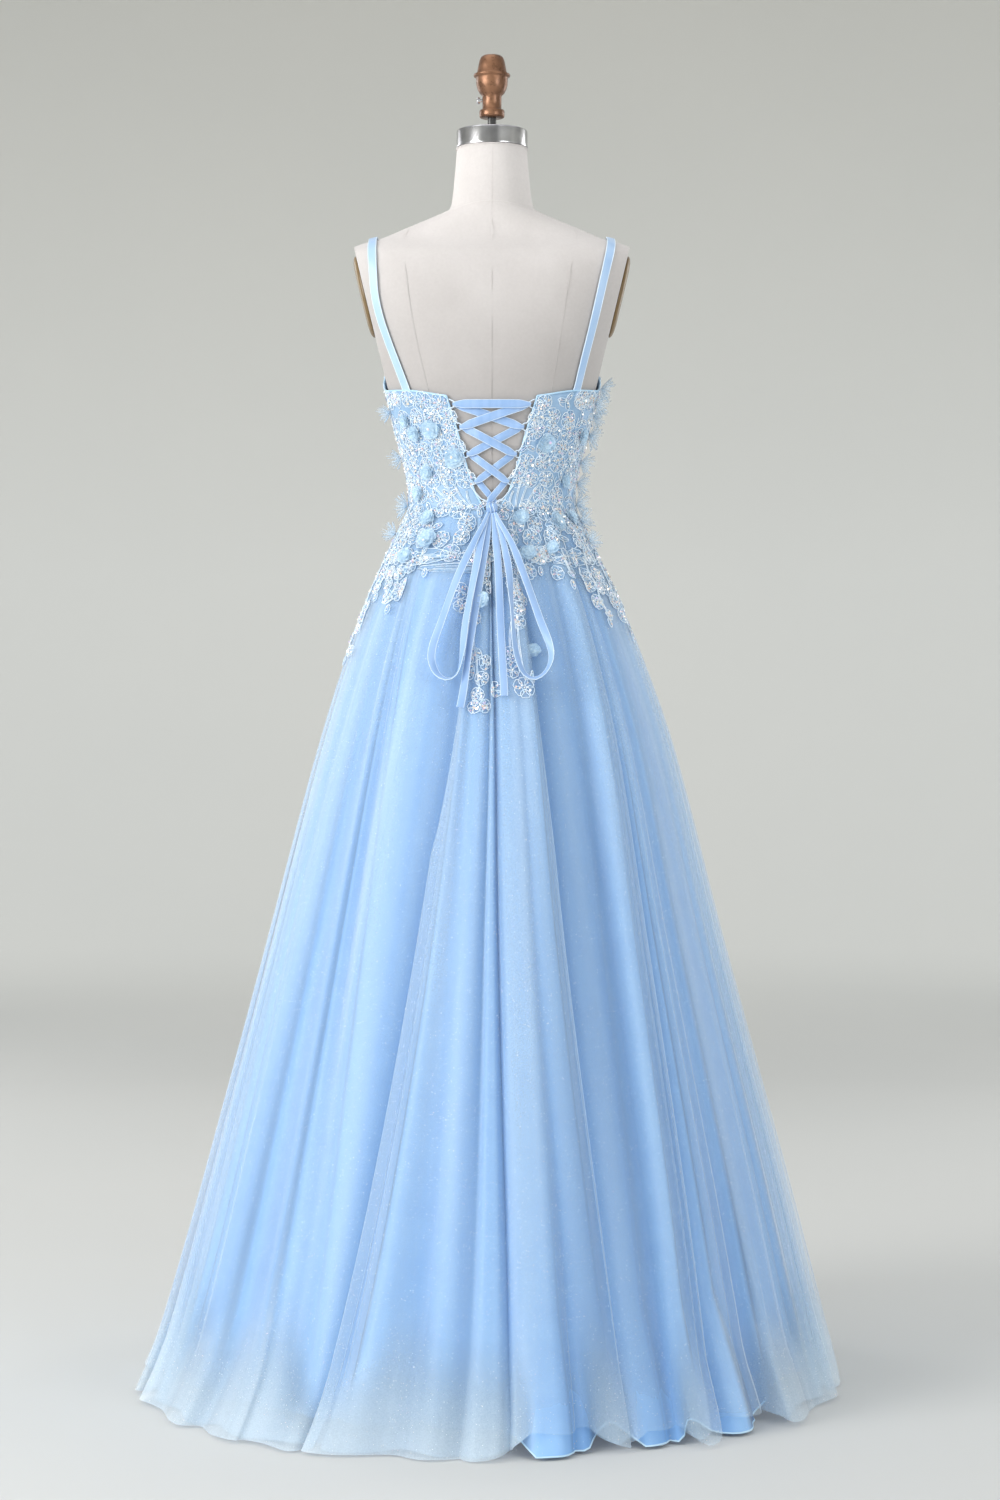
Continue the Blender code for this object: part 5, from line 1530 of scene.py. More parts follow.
@dataclass
class Skirt:
    """The glitter tulle over plain tulle over the satin lining."""

    rows: int = 44
    shade_depth: float = 0.038
    thin_under: float = 0.15
    gores: tuple = (
        Gore("back_right", -90.0, -3.4, 0.16, 0.95, 1.25),
        Gore("back_left", -3.4, 88.0, 0.16, 0.95, 1.25),
        Gore("front", 88.0, 270.0, 0.33, 1.85, 1.25),
    )
    layers: tuple = (
        Layer("tulle", "tulle", 0.0, 0.0, 1.0, 0.042, 3.0, 0.0034, 0.0006, OUTER_TULLE, 1.0),
        Layer("under_tulle", "tulle", 0.001, 0.018, 0.9, 0.026, 9.0, 0.0036, 0.0008, UNDER_TULLE, 0.35),
        Layer("lining", "lining", 0.0022, 0.042, 0.8, 0.0, 17.0, 0.003, 0.0, LINING_SATIN, 0.0, 1.0),
    )
    # where the hem lifts off the lining: thread, height, how far to each side
    lifts: tuple = ((-11.6, 0.03, 5.0), (-28.3, 0.021, 3.8), (-45.0, 0.023, 6.0))

    def lifted(self, cloth_deg: float) -> float:
        """How far the tulle's hem is lifted off the lining at a thread, from 0 to 1."""
        return min(1.0, 2.2 * max(bell(cloth_deg, deg, width) for deg, _, width in self.lifts))

    def hem_z(self, cloth_deg: float, layer: Layer) -> float:
        """The height of a layer's hem at a thread.

        Args:
            cloth_deg: the thread, by its angle at the hem.
            layer: the layer.

        Returns:
            The height.
        """
        wave = noise.noise(around_z(radians(cloth_deg)) * 7 + Vector((layer.seed, 0, 0)))
        if layer.node == "lining":
            return lerp(0.028 + 0.01 * wave, 0.005, self.lifted(cloth_deg))
        lift = max(height * min(1.0, 2 * bell(cloth_deg, deg, width)) for deg, height, width in self.lifts)
        return max(0.0012, 0.0035 + 0.006 * wave + lift)

    def in_fold(self, cloth_deg: float, z: float) -> float:
        """How far in the folds' shade a thread lies at a height, from 0 to 1."""
        return min(1.0, SKIRT.fold_at(cloth_deg, z)[0] / self.shade_depth)

    def thinning(self, cloth_deg: float, z: float) -> float:
        """How far the cloth thins out towards the hem, where it isn't lifted, from 0 to 1."""
        uneven = noise.noise(around_z(radians(cloth_deg), 5.0, 1.0))
        low = max(0.0, 1 - z / (self.thin_under * (1 + uneven)))
        return (1 - self.lifted(cloth_deg)) * low * low * (3 - 2 * low)

    def place(self, layer: Layer, cloth_deg: float, z: float) -> Vector:
        """A point of a layer of the skirt.

        Args:
            layer: the layer.
            cloth_deg: the thread, by its angle at the hem.
            z: the height.

        Returns:
            The point.
        """
        inset = lerp(layer.inset_top, layer.inset_hem, SKIRT.drop(z) ** 0.85)
        if layer.node == "lining":
            inset -= 0.036 * self.lifted(cloth_deg) * max(0.0, 1 - z / 0.16)
        inset -= SKIRT.ripple(cloth_deg, z, layer.seed, layer.broad, layer.fine)
        return SKIRT.point(
            cloth_deg, z, max(inset, -0.004), layer.fold_share, layer.spread, layer.lap_share
        )

    def build_gore(self, gore: Gore, layer: Layer) -> None:
        """One panel of one layer.

        Args:
            gore: the panel.
            layer: the layer.
        """
        columns = round((gore.end_deg - gore.start_deg) / layer.step_deg)
        threads = [lerp(gore.start_deg, gore.end_deg, k / columns) for k in range(columns + 1)]
        for trough in (deg for deg in SKIRT.troughs if gore.start_deg < deg < gore.end_deg):
            nearest = min(range(1, columns), key=lambda k: abs(threads[k] - trough))
            threads[nearest] = trough
        top = WAIST_Z - 0.0003
        hems = [self.hem_z(deg, layer) for deg in threads]
        rows = [
            [self.place(layer, deg, lerp(top, hem, i / self.rows)) for deg, hem in zip(threads, hems)]
            for i in range(self.rows + 1)
        ]
        shape, finishes = Shape(), [layer.finish]
        shape.grid(rows)
        if layer.node == "lining":
            first = min(deg - 2 * width for deg, _, width in self.lifts)
            last = max(deg + 2 * width for deg, _, width in self.lifts)
            hem = [p for p, deg in zip(rows[-1], threads) if first < deg < last]
            if hem:
                # the rolled hem over the lifted part, in pale satin as a painted highlight
                shape.cord(hem, level_out, 0.0012, 6, False, 1)
                finishes.append(HEM_HIGHLIGHT_SATIN)
        node = f"{layer.node}_{gore.name}"
        made = shape.piece(f"{layer.name}_{gore.name}_cloth", finishes, [node], smooth_deg=None)
        for word, given in (("fold_depth", self.in_fold), ("thinning", self.thinning)):
            values = [given(deg, p.z) for row in rows for deg, p in zip(threads, row)]
            values += [0.0] * (len(made.data.vertices) - len(values))
            made.data.attributes.new(word, "FLOAT", "POINT").data.foreach_set("value", values)

    def build(self) -> None:
        """Builds every panel of every layer."""
        for layer in self.layers:
            for gore in self.gores:
                self.build_gore(gore, layer)


# ------------------------------ the bodice


@dataclass
class Bodice:
    """The boned bodice, open at the back between its two lacing edges."""

    inner: float = 0.003
    wall: float = 0.0014
    columns: int = 170
    rows: int = 22
    piping: float = 0.0013
    # degrees from the middle of the back, and height
    top_edge: Profile = field(default_factory=lambda: Profile((
        (0, 1.325), (24, 1.333), (45, 1.341), (82, 1.347), (110, 1.374), (148, 1.424), (167, 1.396),
        (180, 1.38),
    )))
    # height, and how far the lacing edge is from the middle
    lacing_gap: Profile = field(default_factory=lambda: Profile((
        (1.18, 0.01), (1.188, 0.014), (1.208, 0.024), (1.243, 0.0347), (1.2815, 0.0448),
        (1.3245, 0.058), (1.345, 0.0645),
    )))
    bones: tuple = (50.0, 75.0, 100.0, 126.0, 152.0, 180.0, 208.0, 234.0, 260.0, 285.0, 310.0)
    panels: tuple = ("back_left", "back_right", "side_left", "side_right", "front_left", "front_right",
                     "front_centre")

    def top_z(self, deg: float) -> float:
        """The height of the top edge at an angle."""
        return self.top_edge(abs((deg + 180) % 360 - 180))

    def lacing_deg(self, z: float) -> float:
        """The angle of the left lacing edge at a height."""
        return FORM.deg_at(self.lacing_gap(z), z, self.inner)

    def face(self, deg: float, z: float, off: float = 0.0) -> Vector:
        """A point off the bodice's outer face."""
        return FORM.point(deg, z, self.inner + self.wall + off)

    def bone_relief(self, share: float, z: float) -> float:
        """How far the boning channels raise the cloth.

        Args:
            share: where round the bodice, as a share of the way.
            z: the height.

        Returns:
            The distance, in metres.
        """
        radius, deg = FORM.half_width(z), lerp(25, 335, share)
        away = min(abs(deg - bone) for bone in self.bones) * radians(1) * radius
        edge = min(share, 1 - share) * 2 * pi * radius * 0.8
        return 0.0007 * bell(away, 0, 0.003) + 0.0006 * bell(edge, 0.012, 0.003)

    def build(self) -> None:
        """The satin shell, with boning channels raised down it, and its piping."""
        top_edge, rows = self.lacing_deg(1.33), []
        shares = [k / self.columns for k in range(self.columns + 1)]
        tops = [self.top_z(lerp(top_edge, 360 - top_edge, share)) for share in shares]
        for i in range(self.rows + 1):
            row = []
            for share, top in zip(shares, tops):
                z = lerp(top, WAIST_Z + 0.0003, i / self.rows)
                edge = self.lacing_deg(z)
                row.append(self.face(lerp(edge, 360 - edge, share), z, self.bone_relief(share, z)))
            rows.append(row)
        shape, edges = Shape(), Shape()
        shape.grid(rows)
        nodes = [f"bodice_{panel}" for panel in self.panels]
        made = shape.piece("bodice_cloth", [BODICE_SATIN], nodes, smooth_deg=None)
        solid = made.modifiers.new("Cloth", "SOLIDIFY")
        solid.thickness, solid.offset, solid.use_even_offset = self.wall, -1.0, False
        for line in (rows[0], [row[0] for row in rows], [row[-1] for row in rows]):
            path = smooth_path([p - FORM.outward(p) * 0.0004 for p in line], len(line) * 2)
            edges.cord(path, FORM.outward, self.piping, 6)
        edges.piece("bodice_piping", [PIPING_SATIN], closed=True)


@dataclass
class Straps:
    """Two narrow satin straps over the shoulders."""

    width: float = 0.0108
    wall: float = 0.0012
    off_form: float = 0.0028
    shoulder_z: float = 1.553
    # x and height, from the bodice up
    back_left: tuple = (
        (0.1168, 1.3468), (0.127, 1.374), (0.1395, 1.407), (0.1505, 1.439), (0.1575, 1.47),
        (0.16, 1.5), (0.1615, 1.525), (0.162, 1.5385), (0.162, 1.5475),
    )
    back_right: tuple = (
        (0.116, 1.3468), (0.124, 1.38), (0.133, 1.415), (0.141, 1.448), (0.148, 1.479),
        (0.154, 1.505), (0.159, 1.527), (0.161, 1.5385), (0.162, 1.5475),
    )
    front: tuple = ((0.118, 1.44), (0.14, 1.48), (0.153, 1.515), (0.159, 1.537), (0.161, 1.547))

    def outward(self, point: Vector) -> Vector:
        """The way a strap's face looks: out from the body low down, and up at its crest."""
        rise = max(0.0, min(1.0, (point.z - 1.5) / (self.shoulder_z + 0.0008 - 1.5)))
        flat = Vector((0.25 * copysign(1, point.x), point.y / 0.05, 1.0))
        return FORM.outward(point).lerp(flat, rise**1.5)

    def build_strap(self, bodice: Bodice, name: str, side: int, back_rows: tuple) -> None:
        """One strap, from the back's top edge over the shoulder to the cup's peak.

        Args:
            bodice: the bodice that it is sewn to.
            name: left or right.
            side: 1 for the wearer's left, -1 for the right.
            back_rows: x and height down the back, from the bodice up.
        """
        off, peak = self.off_form + self.wall / 2, bodice.top_z(148)
        points = [FORM.level_point(back_rows[0][0] - 0.004, back_rows[0][1] - 0.013, off + 0.0012)]
        points += [FORM.level_point(x, z, off) for x, z in back_rows]
        points.append(Vector((0.162, 0, self.shoulder_z + 0.0008 + off)))
        points += [FORM.level_point(x, z, off, -1) for x, z in reversed(self.front)]
        points += [FORM.point(148, peak + 0.0045, off), FORM.point(148, peak - 0.006, off + 0.001)]
        path = smooth_path([Vector((side * p.x, p.y, p.z)) for p in points], 70)
        shape, edges = Shape(), Shape()
        shape.band(path, self.outward, lambda share: self.width, 0.001, 0.0003, edges=edges)
        made = shape.piece(f"strap_{name}_satin", [STRAP_SATIN], [f"strap_{name}"], closed=True)
        edges.piece(f"strap_{name}_edges", [RIBBON_EDGE], closed=True)
        log.info("strap %s lies along %.3f m", name, path_length(path))

    def build(self, bodice: Bodice) -> None:
        """Builds both straps.

        Args:
            bodice: the bodice that they are sewn to.
        """
        self.build_strap(bodice, "left", 1, self.back_left)
        self.build_strap(bodice, "right", -1, self.back_right)


# ------------------------------ the lacing


@dataclass
class Lacing:
    """The ribbon crossed between two rows of cord loops."""

    heights: tuple = (1.321, 1.291, 1.255, 1.219, 1.189)
    # down a cord loop: reach into the gap, height over its middle as a share of its half, off the form
    loop: tuple = (
        (-0.0006, 1.15, 0.005), (0.004, 0.8, 0.0049), (0.0078, 0.32, 0.0048), (0.0085, 0.0, 0.0048),
        (0.0078, -0.32, 0.0048), (0.004, -0.8, 0.0049), (-0.0006, -1.15, 0.005),
    )
    loop_reach: float = 0.0085
    loop_half_height: float = 0.0058
    loop_radius: float = 0.0009
    width: float = 0.0108
    end_width: float = 0.004
    folded_over: tuple = (1.0, 0.94, 0.84, 0.74)  # share of the width that shows, row by row
    under_off: float = 0.0014
    cross_under_off: float = 0.0028
    cross_over_off: float = 0.0062
    over_tip_off: float = 0.0068
    edges: Shape = field(default_factory=Shape)

    def width_at(self, share: float) -> float:
        """The ribbon's width: narrow where it goes through a loop."""
        return lerp(self.width, self.end_width, max(0.0, 1 - 6.5 * min(share, 1 - share)) ** 1.3)

    def build_loops(self, bodice: Bodice, name: str, side: int) -> None:
        """The tape behind one lacing edge, with its five cord loops.

        Args:
            bodice: the bodice whose edge carries them.
            name: left or right.
            side: 1 for the wearer's left, -1 for the right.
        """
        shape, rows, route = Shape(), [], []
        for z in (lerp(self.heights[0] + 0.007, self.heights[-1] - 0.005, i / 24) for i in range(25)):
            xs = [bodice.lacing_gap(z) + 0.001 + 0.008 * k / 4 for k in range(5)]
            rows.append([FORM.level_point(side * x, z, 0.0014) for x in xs])
        shape.grid(rows)
        for z in self.heights:
            for reach, rise, off in self.loop:
                x = side * (bodice.lacing_gap(z) - reach)
                route.append(FORM.level_point(x, z + rise * self.loop_half_height, off))
        shape.cord(smooth_path(route, 130), FORM.outward, self.loop_radius, 6, False, 1)
        shape.piece(f"lacing_loops_{name}", [RIBBON_SATIN, RIBBON_EDGE], [f"loop_tape_{name}"])

    def sew(self, name: str, shape: Shape, path: Sequence[Vector]) -> None:
        """Makes one run of the ribbon a piece.

        Args:
            name: its CAD node.
            shape: its shape.
            path: the line that it lies along.
        """
        made = shape.piece(f"{name}_ribbon", [RIBBON_SATIN], [name], closed=True)
        length = round(path_length(path), 3)

    def build_crossing(self, bodice: Bodice, name: str, start_side: int, start: int, over: bool) -> None:
        """One crossing, from a loop on one side to the next one down on the other.

        Args:
            bodice: the bodice that it closes.
            name: its CAD node.
            start_side: the side it starts on.
            start: the number of the loop that it starts from.
            over: whether it lies over the other ribbon.
        """
        z_start, z_end = self.heights[start], self.heights[start + 1]
        middle, twist = (self.cross_over_off, 9) if over else (self.cross_under_off, -7)
        first = start_side * (bodice.lacing_gap(z_start) - self.loop_reach)
        last = -start_side * (bodice.lacing_gap(z_end) - self.loop_reach)
        stops = [(0.0, self.under_off), (0.3, middle), (0.5, middle), (0.7, middle)]
        to_knot = start + 1 == len(self.heights) - 1
        if to_knot:
            stops += [(0.86, middle), (1.0, middle)]
        else:
            stops += [(0.8, middle + (0.0 if over else 0.0008)), (1.0, self.over_tip_off)]
        points = [FORM.level_point(first + start_side * 0.0042, z_start, self.under_off)]
        for share, off in stops:
            points.append(FORM.level_point(lerp(first, last, share), lerp(z_start, z_end, share), off))
        if not to_knot:
            points.append(FORM.level_point(last - start_side * 0.004, z_end, self.over_tip_off))
        shape, shown = Shape(), self.folded_over[start]
        shape.band(
            smooth_path(points, 40), FORM.outward, lambda share: shown * self.width_at(share),
            crown=0.0009, roll_at=lambda share: twist * sin(2 * pi * share), edges=self.edges,
        )
        self.sew(name, shape, points)

    def build_top_bar(self, bodice: Bodice) -> None:
        """The ribbon's first bar, straight across between the top loops.

        Args:
            bodice: the bodice that it closes.
        """
        z = self.heights[0]
        tip = bodice.lacing_gap(z) - self.loop_reach
        places = ((tip + 0.0038, 0.0072), (tip, 0.0072), (tip / 2, 0.007), (0.0, 0.0068),
                  (-tip / 2, 0.007), (-tip, 0.0072), (-tip - 0.0038, 0.0072))
        path = smooth_path([FORM.level_point(x, z, off) for x, off in places], 40)
        shape = Shape()
        shape.band(path, FORM.outward, self.width_at, crown=0.0009, edges=self.edges)
        self.sew("lacing_top_bar", shape, path)

    def build(self, bodice: Bodice) -> None:
        """Builds the loops, eight crossings and the bar at the top.

        Args:
            bodice: the bodice that it closes.
        """
        self.build_loops(bodice, "left", 1)
        self.build_loops(bodice, "right", -1)
        for step, side in enumerate((-1, 1, -1, 1)):
            self.build_crossing(bodice, f"lacing_a{step + 1}", side, step, step < 2)
            self.build_crossing(bodice, f"lacing_b{step + 1}", -side, step, step >= 2)
        self.build_top_bar(bodice)
        self.edges.piece("lacing_edges", [RIBBON_EDGE], closed=True)


# ------------------------------ lace


@dataclass(frozen=True)
class Patch:
    """A place on cloth where trim is sewn: flat measures from its middle give points."""

    face: Face
    deg: float
    z: float
    turn: float = 0.0

    def per_deg(self) -> float:
        """Metres along the cloth for a degree."""
        ahead = self.face(self.deg + 1, self.z, 0.0) - self.face(self.deg - 1, self.z, 0.0)
        return max(ahead.length / 2, 0.0008)

    def outward(self) -> Vector:
        """The way the cloth faces."""
        across = self.face(self.deg + 1.5, self.z, 0.0) - self.face(self.deg - 1.5, self.z, 0.0)
        up = self.face(self.deg, self.z + 0.004, 0.0) - self.face(self.deg, self.z - 0.004, 0.0)
        normal = across.cross(up).normalized()
        return normal if normal.dot(level_out(self.face(self.deg, self.z, 0.0))) > 0 else -normal

    def placer(self) -> Callable[..., Vector]:
        """Gives the point at a measure across and up the patch, and off its cloth."""
        scale, cosine, sine = self.per_deg(), cos(self.turn), sin(self.turn)

        def at(across: float, up: float, off: float = 0.0) -> Vector:
            """The point there."""
            aside, rise = across * cosine - up * sine, across * sine + up * cosine
            return self.face(self.deg + aside / scale, self.z + rise, off)

        return at


@dataclass(frozen=True)
class Spray:
    """A hanging spray of lace: its angle, how low it reaches and its half width."""

    deg: float
    low_z: float
    half_width_deg: float


@dataclass
class Lace:
    """Corded flowers, leaves and stems with sequins, over the bodice and the hips."""

    bodice: Bodice
    skirt: Skirt
    cord: float = 0.00066
    pitch: float = 0.0236  # from one flower to the next
    row_share: float = 0.87  # and from one row to the next, as a share of it
    front: tuple[float, float] = (95, 265)  # where the flowers are larger and further apart
    front_scale: float = 1.1
    foot: float = 0.0015  # height of the first row over the waist
    bodice_radius: tuple[float, float] = (0.0118, 0.0148)
    hip_radius: tuple[float, float] = (0.0114, 0.0144)
    sequin: float = 0.00142
    flowers_end: float = 1.122
    spray_top: float = 1.118
    spray_radius: tuple[float, float] = (0.0118, 0.008)  # at its top and at its tip
    net_low: float = 1.116
    sprays: tuple = tuple(Spray(*measures) for measures in (
        (34, 1.095, 7), (52, 1.045, 10), (78, 0.99, 7), (66, 1.07, 6), (100, 1.06, 10), (122, 1.01, 8),
        (143, 1.07, 10), (164, 0.96, 7), (184, 1.06, 10), (205, 1.0, 8), (228, 1.06, 10),
        (248, 1.02, 8), (-90, 1.06, 8), (-74, 1.01, 7), (-56, 1.03, 6), (-40, 1.08, 8),
        (-26, 1.1, 6), (5, 1.06, 5), (-12, 1.05, 5),
    ))
    # the two sprays under the bow, flower by flower: x, height, radius
    middle_flowers: tuple = (
        (0.0444, 1.07, 0.009), (0.0418, 1.05, 0.008), (0.022, 1.034, 0.009), (0.0048, 1.108, 0.008),
        (0.013, 1.088, 0.008), (0.0022, 1.074, 0.007), (0.0246, 0.984, 0.009), (0.0075, 0.974, 0.008),
        (0.029, 0.962, 0.0085), (0.013, 0.953, 0.008), (-0.003, 0.938, 0.0085), (0.02, 0.932, 0.008),
        (0.0088, 0.917, 0.0075), (0.0235, 0.915, 0.007), (-0.0136, 1.116, 0.0075), (-0.015, 1.096, 0.007),
        (-0.0334, 1.066, 0.008), (-0.0374, 1.046, 0.009), (-0.0348, 1.028, 0.008),
        (-0.023, 0.985, 0.009), (-0.0268, 0.964, 0.009), (-0.0427, 0.941, 0.0115),
        (-0.056, 0.955, 0.0065),
    )
    # bare cloth beside the lacing, where only stems run: x from, x to, height from, height to
    bare: tuple = ((-0.055, -0.02, 1.187, 1.219), (0.026, 0.046, 1.19, 1.21))
    # stems over bare cloth, each from its foot's x and height to its tip's
    stems: tuple = (
        (-0.024, 1.184, -0.029, 1.206), (-0.032, 1.184, -0.041, 1.222), (-0.038, 1.184, -0.052, 1.222),
        (-0.045, 1.183, -0.064, 1.216), (-0.052, 1.183, -0.074, 1.206), (0.03, 1.184, 0.05, 1.214),
        (0.038, 1.184, 0.066, 1.222), (0.026, 1.184, 0.034, 1.206), (0.044, 1.184, 0.078, 1.212),
        (-0.034, 1.028, -0.044, 0.952), (-0.03, 1.03, -0.036, 0.966), (0.024, 1.03, 0.021, 0.984),
        (0.02, 0.984, 0.012, 0.92), (-0.026, 1.028, -0.025, 0.99),
    )
    # the net's pieces: thread from, thread to, width of its cloth
    nets: tuple = (("back_right", -90.0, -3.4, 0.34), ("back_left", -3.4, 88.0, 0.34),
                   ("front_left", 88.0, 171.0, 0.3), ("front_right", 171.0, 270.0, 0.33))
    rng: random.Random = field(default_factory=lambda: random.Random(5))
    threads: Shape = field(default_factory=Shape)
    sequins: Shape = field(default_factory=Shape)

    def bodice_face(self, deg: float, z: float, off: float) -> Vector:
        """A point off the bodice."""
        return self.bodice.face(deg, z, off + 0.0002)

    def hip_face(self, deg: float, z: float, off: float) -> Vector:
        """A point off the tulle, by the thread of its cloth."""
        place = self.skirt.place(self.skirt.layers[0], deg, z)
        return place + level_out(place) * (off + 0.0016)

    def cloth_face(self, deg: float, z: float, off: float) -> Vector:
        """A point off the bodice or, under the waist, off the tulle, by the body's angle."""
        if z > WAIST_Z:
            return self.bodice_face(deg, z, off)
        return self.hip_face(SKIRT.cloth_deg(deg, z), z, off)

    def thread_at(self, x: float, z: float) -> float:
        """The thread of the skirt's cloth at an x and height of the back."""
        return SKIRT.cloth_deg(degrees(asin((x - SKIRT.sway(z)) / SKIRT.half_width(z))), z)

    def patch(self, deg: float, z: float) -> Patch:
        """A patch turned at random, on the bodice or on the skirt under it."""
        return Patch(self.cloth_face, deg, z, self.rng.uniform(0, 2 * pi))

    def add_sequins(self, at: Callable[..., Vector], outward: Vector, places: Sequence) -> None:
        """Sews sequins, each a little tilted.

        Args:
            at: gives a point at a measure across and up, and off the cloth.
            outward: the way the cloth faces.
            places: where they go, across and up.
        """
        for across, up in places:
            tilt = Vector([self.rng.uniform(-0.6, 0.6) for _ in range(3)])
            radius = self.sequin * self.rng.uniform(0.65, 1.15)
            centre = at(across, up, 0.0016 + self.rng.uniform(0, 0.0005))
            self.sequins.disc(centre, (outward + tilt).normalized(), radius)

    def add_petal(
        self, spot: Callable[..., Vector], outward: Vector, start: float, reach: float, wide: float,
        notch: float, open_work: bool = False,
    ) -> None:
        """One corded petal: its outline, its stitched middle and its vein.

        Args:
            spot: gives a point at a measure along and across the petal, and off its cloth.
            outward: the way the cloth faces.
            start: how far from the flower's middle it starts.
            reach: how far its tip reaches.
            wide: half its width.
            notch: how deep the notch in its tip is, as a share.
            open_work: whether it has no stitched middle.
        """
        off, middle, half = self.cord * 0.7, (start + reach) / 2, (reach - start) / 2
        outline = []
        for turn in turns(9):
            tip = 1 - notch * bell(remainder(turn, 2 * pi), 0, 0.45)
            outline.append((middle + half * tip * cos(turn), wide * sin(turn) * (1 + 0.12 * cos(turn))))
        self.threads.cord([spot(a, c, off) for a, c in outline], outward, self.cord, 4, True)
        if open_work:
            return
        first = len(self.threads.points)
        self.threads.points.extend([spot(a, c * 0.96, 0.0003) for a, c in outline])
        self.threads.points.append(spot(middle, 0.0, 0.0008))
        for j in range(9):
            self.threads.face((first + j, first + (j + 1) % 9, first + 9), 1)
        line = [(start + half * 0.1, 0.0), (middle, wide * 0.22), (reach - half * 0.45, -wide * 0.1)]
        self.threads.cord([spot(a, c, off + 0.0003) for a, c in line], outward, self.cord * 0.8, 3)

    def add_flower(self, patch: Patch, radius: float, petals: int = 5, open_work: bool = False) -> None:
        """One corded flower with sequins scattered over its petals.

        Args:
            patch: where it is sewn.
            radius: its size.
            petals: how many petals it has.
            open_work: whether its petals have no stitched middle.
        """
        at, outward = patch.placer(), patch.outward()
        wide, places = radius * sin(pi / petals) * 0.88, [(0.0, 0.0)]
        for axis in turns(petals):
            cosine, sine = cos(axis), sin(axis)
            reach = radius * self.rng.uniform(0.88, 1.08)

            def spot(along: float, across: float, lift: float = 0.0) -> Vector:
                """The point of this petal at a measure along and across it."""
                return at(along * cosine - across * sine, along * sine + across * cosine, lift)

            self.add_petal(spot, outward, radius * 0.17, reach, wide, 0.16, open_work)
            for _ in range(2):
                along, across = reach * self.rng.uniform(0.2, 0.8), wide * self.rng.uniform(-0.75, 0.75)
                places.append((along * cosine - across * sine, along * sine + across * cosine))
        self.add_sequins(at, outward, places)

    def add_leaf(self, patch: Patch, length: float) -> None:
        """One corded leaf with its vein, pointing up its patch."""
        at, outward = patch.placer(), patch.outward()
        self.add_petal(lambda a, c, o: at(c, a, o), outward, 0.0, length, length * 0.26, -0.15)
        self.add_sequins(at, outward, [(0.0, length * 0.3), (0.0, length * 0.7)])

    def add_stem(self, points: Sequence[Vector], doubled: bool = True) -> None:
        """A cord, or two side by side, along a line on the cloth.

        Args:
            points: the line.
            doubled: whether there are two.
        """
        path = smooth_path(points, max(5, 3 * len(points)))
        sides = [FORM.outward(p).cross(heading(path, i)).normalized() for i, p in enumerate(path)]
        for apart in (-0.0008, 0.0008) if doubled else (0.0,):
            line = [point + side * apart for point, side in zip(path, sides)]
            self.threads.cord(line, FORM.outward, self.cord)

    def add_tendril(self, deg: float, z: float, length: float) -> None:
        """A short curling cord that runs down between the flowers.

        Args:
            deg: the angle of its foot.
            z: the height of its foot.
            length: how far down it runs.
        """
        patch = self.patch(deg, z)
        at = Patch(patch.face, deg, z, self.rng.uniform(-0.7, 0.7)).placer()
        sway = self.rng.uniform(-0.3, 0.3) * length
        self.add_stem([at(sway * sin(pi * t), -length * t, 0.0006) for t in (0, 0.35, 0.7, 1.0)], False)

    def in_front(self, deg: float) -> bool:
        """Whether an angle is on the front."""
        return self.front[0] < deg < self.front[1]

    def is_bare(self, point: Vector) -> bool:
        """Whether a place lies on the cloth left bare beside the lacing."""
        return point.y > 0 and any(
            left < point.x < right and low < point.z < high for left, right, low, high in self.bare
        )

    def fill_bodice(self) -> None:
        """Covers the bodice with flowers set brick fashion, with leaves between them."""
        row, z = 0, WAIST_Z + self.foot
        while z < 1.43:
            edge = self.bodice.lacing_deg(min(z, 1.34))
            margin = 3.2 + (row % 2) * 2.4
            deg, last = edge + margin, 360 - edge - margin
            while deg < last + 0.1:
                scale = Patch(self.bodice_face, deg, z).per_deg()
                front, top = self.in_front(deg), self.bodice.top_z(deg)
                radius = self.rng.uniform(*self.bodice_radius) * (self.front_scale if front else 1.0)
                height = z + self.rng.uniform(-0.002, 0.002)
                if top - radius * 1.7 < height < top + radius * 0.3:
                    height = top - radius * 0.95
                if height <= top and not self.is_bare(self.bodice_face(deg, height, 0.0)):
                    patch = self.patch(deg, height)
                    if self.rng.random() < 0.84:
                        self.add_flower(patch, radius, self.rng.choice((5, 6, 6)))
                    else:
                        for turn in (0.0, 2.1, 4.2):
                            self.add_leaf(Patch(patch.face, deg, height, patch.turn + turn), 0.0125)
                    if not front and self.rng.random() < 0.6:
                        self.add_tendril(deg + 5.0, height + 0.004, self.rng.uniform(0.01, 0.017))
                step = self.pitch * (1.12 if front else 1.0) * self.rng.uniform(0.97, 1.1) / scale
                deg = last if deg < last < deg + 1.5 * step else deg + step
            row += 1
            z += self.pitch * self.row_share

    def add_middle_sprays(self) -> None:
        """The sprays under the bow, and the straight stems over bare cloth."""
        for x, z, radius in self.middle_flowers:
            patch = Patch(self.hip_face, self.thread_at(x, z), z, self.rng.uniform(0, 2 * pi))
            self.add_flower(patch, radius * 1.28, 6 if radius > 0.011 else 5, True)
        for x_low, z_low, x_high, z_high in self.stems:
            line = []
            for t in (0.0, 0.33, 0.67, 1.0):
                x, z = lerp(x_low, x_high, t) + 0.002 * sin(pi * t), lerp(z_low, z_high, t)
                on_skirt = z <= WAIST_Z
                line.append(
                    self.hip_face(self.thread_at(x, z), z, 0.0006) if on_skirt
                    else FORM.level_point(x, z, 0.0052)
                )
            self.add_stem(line)

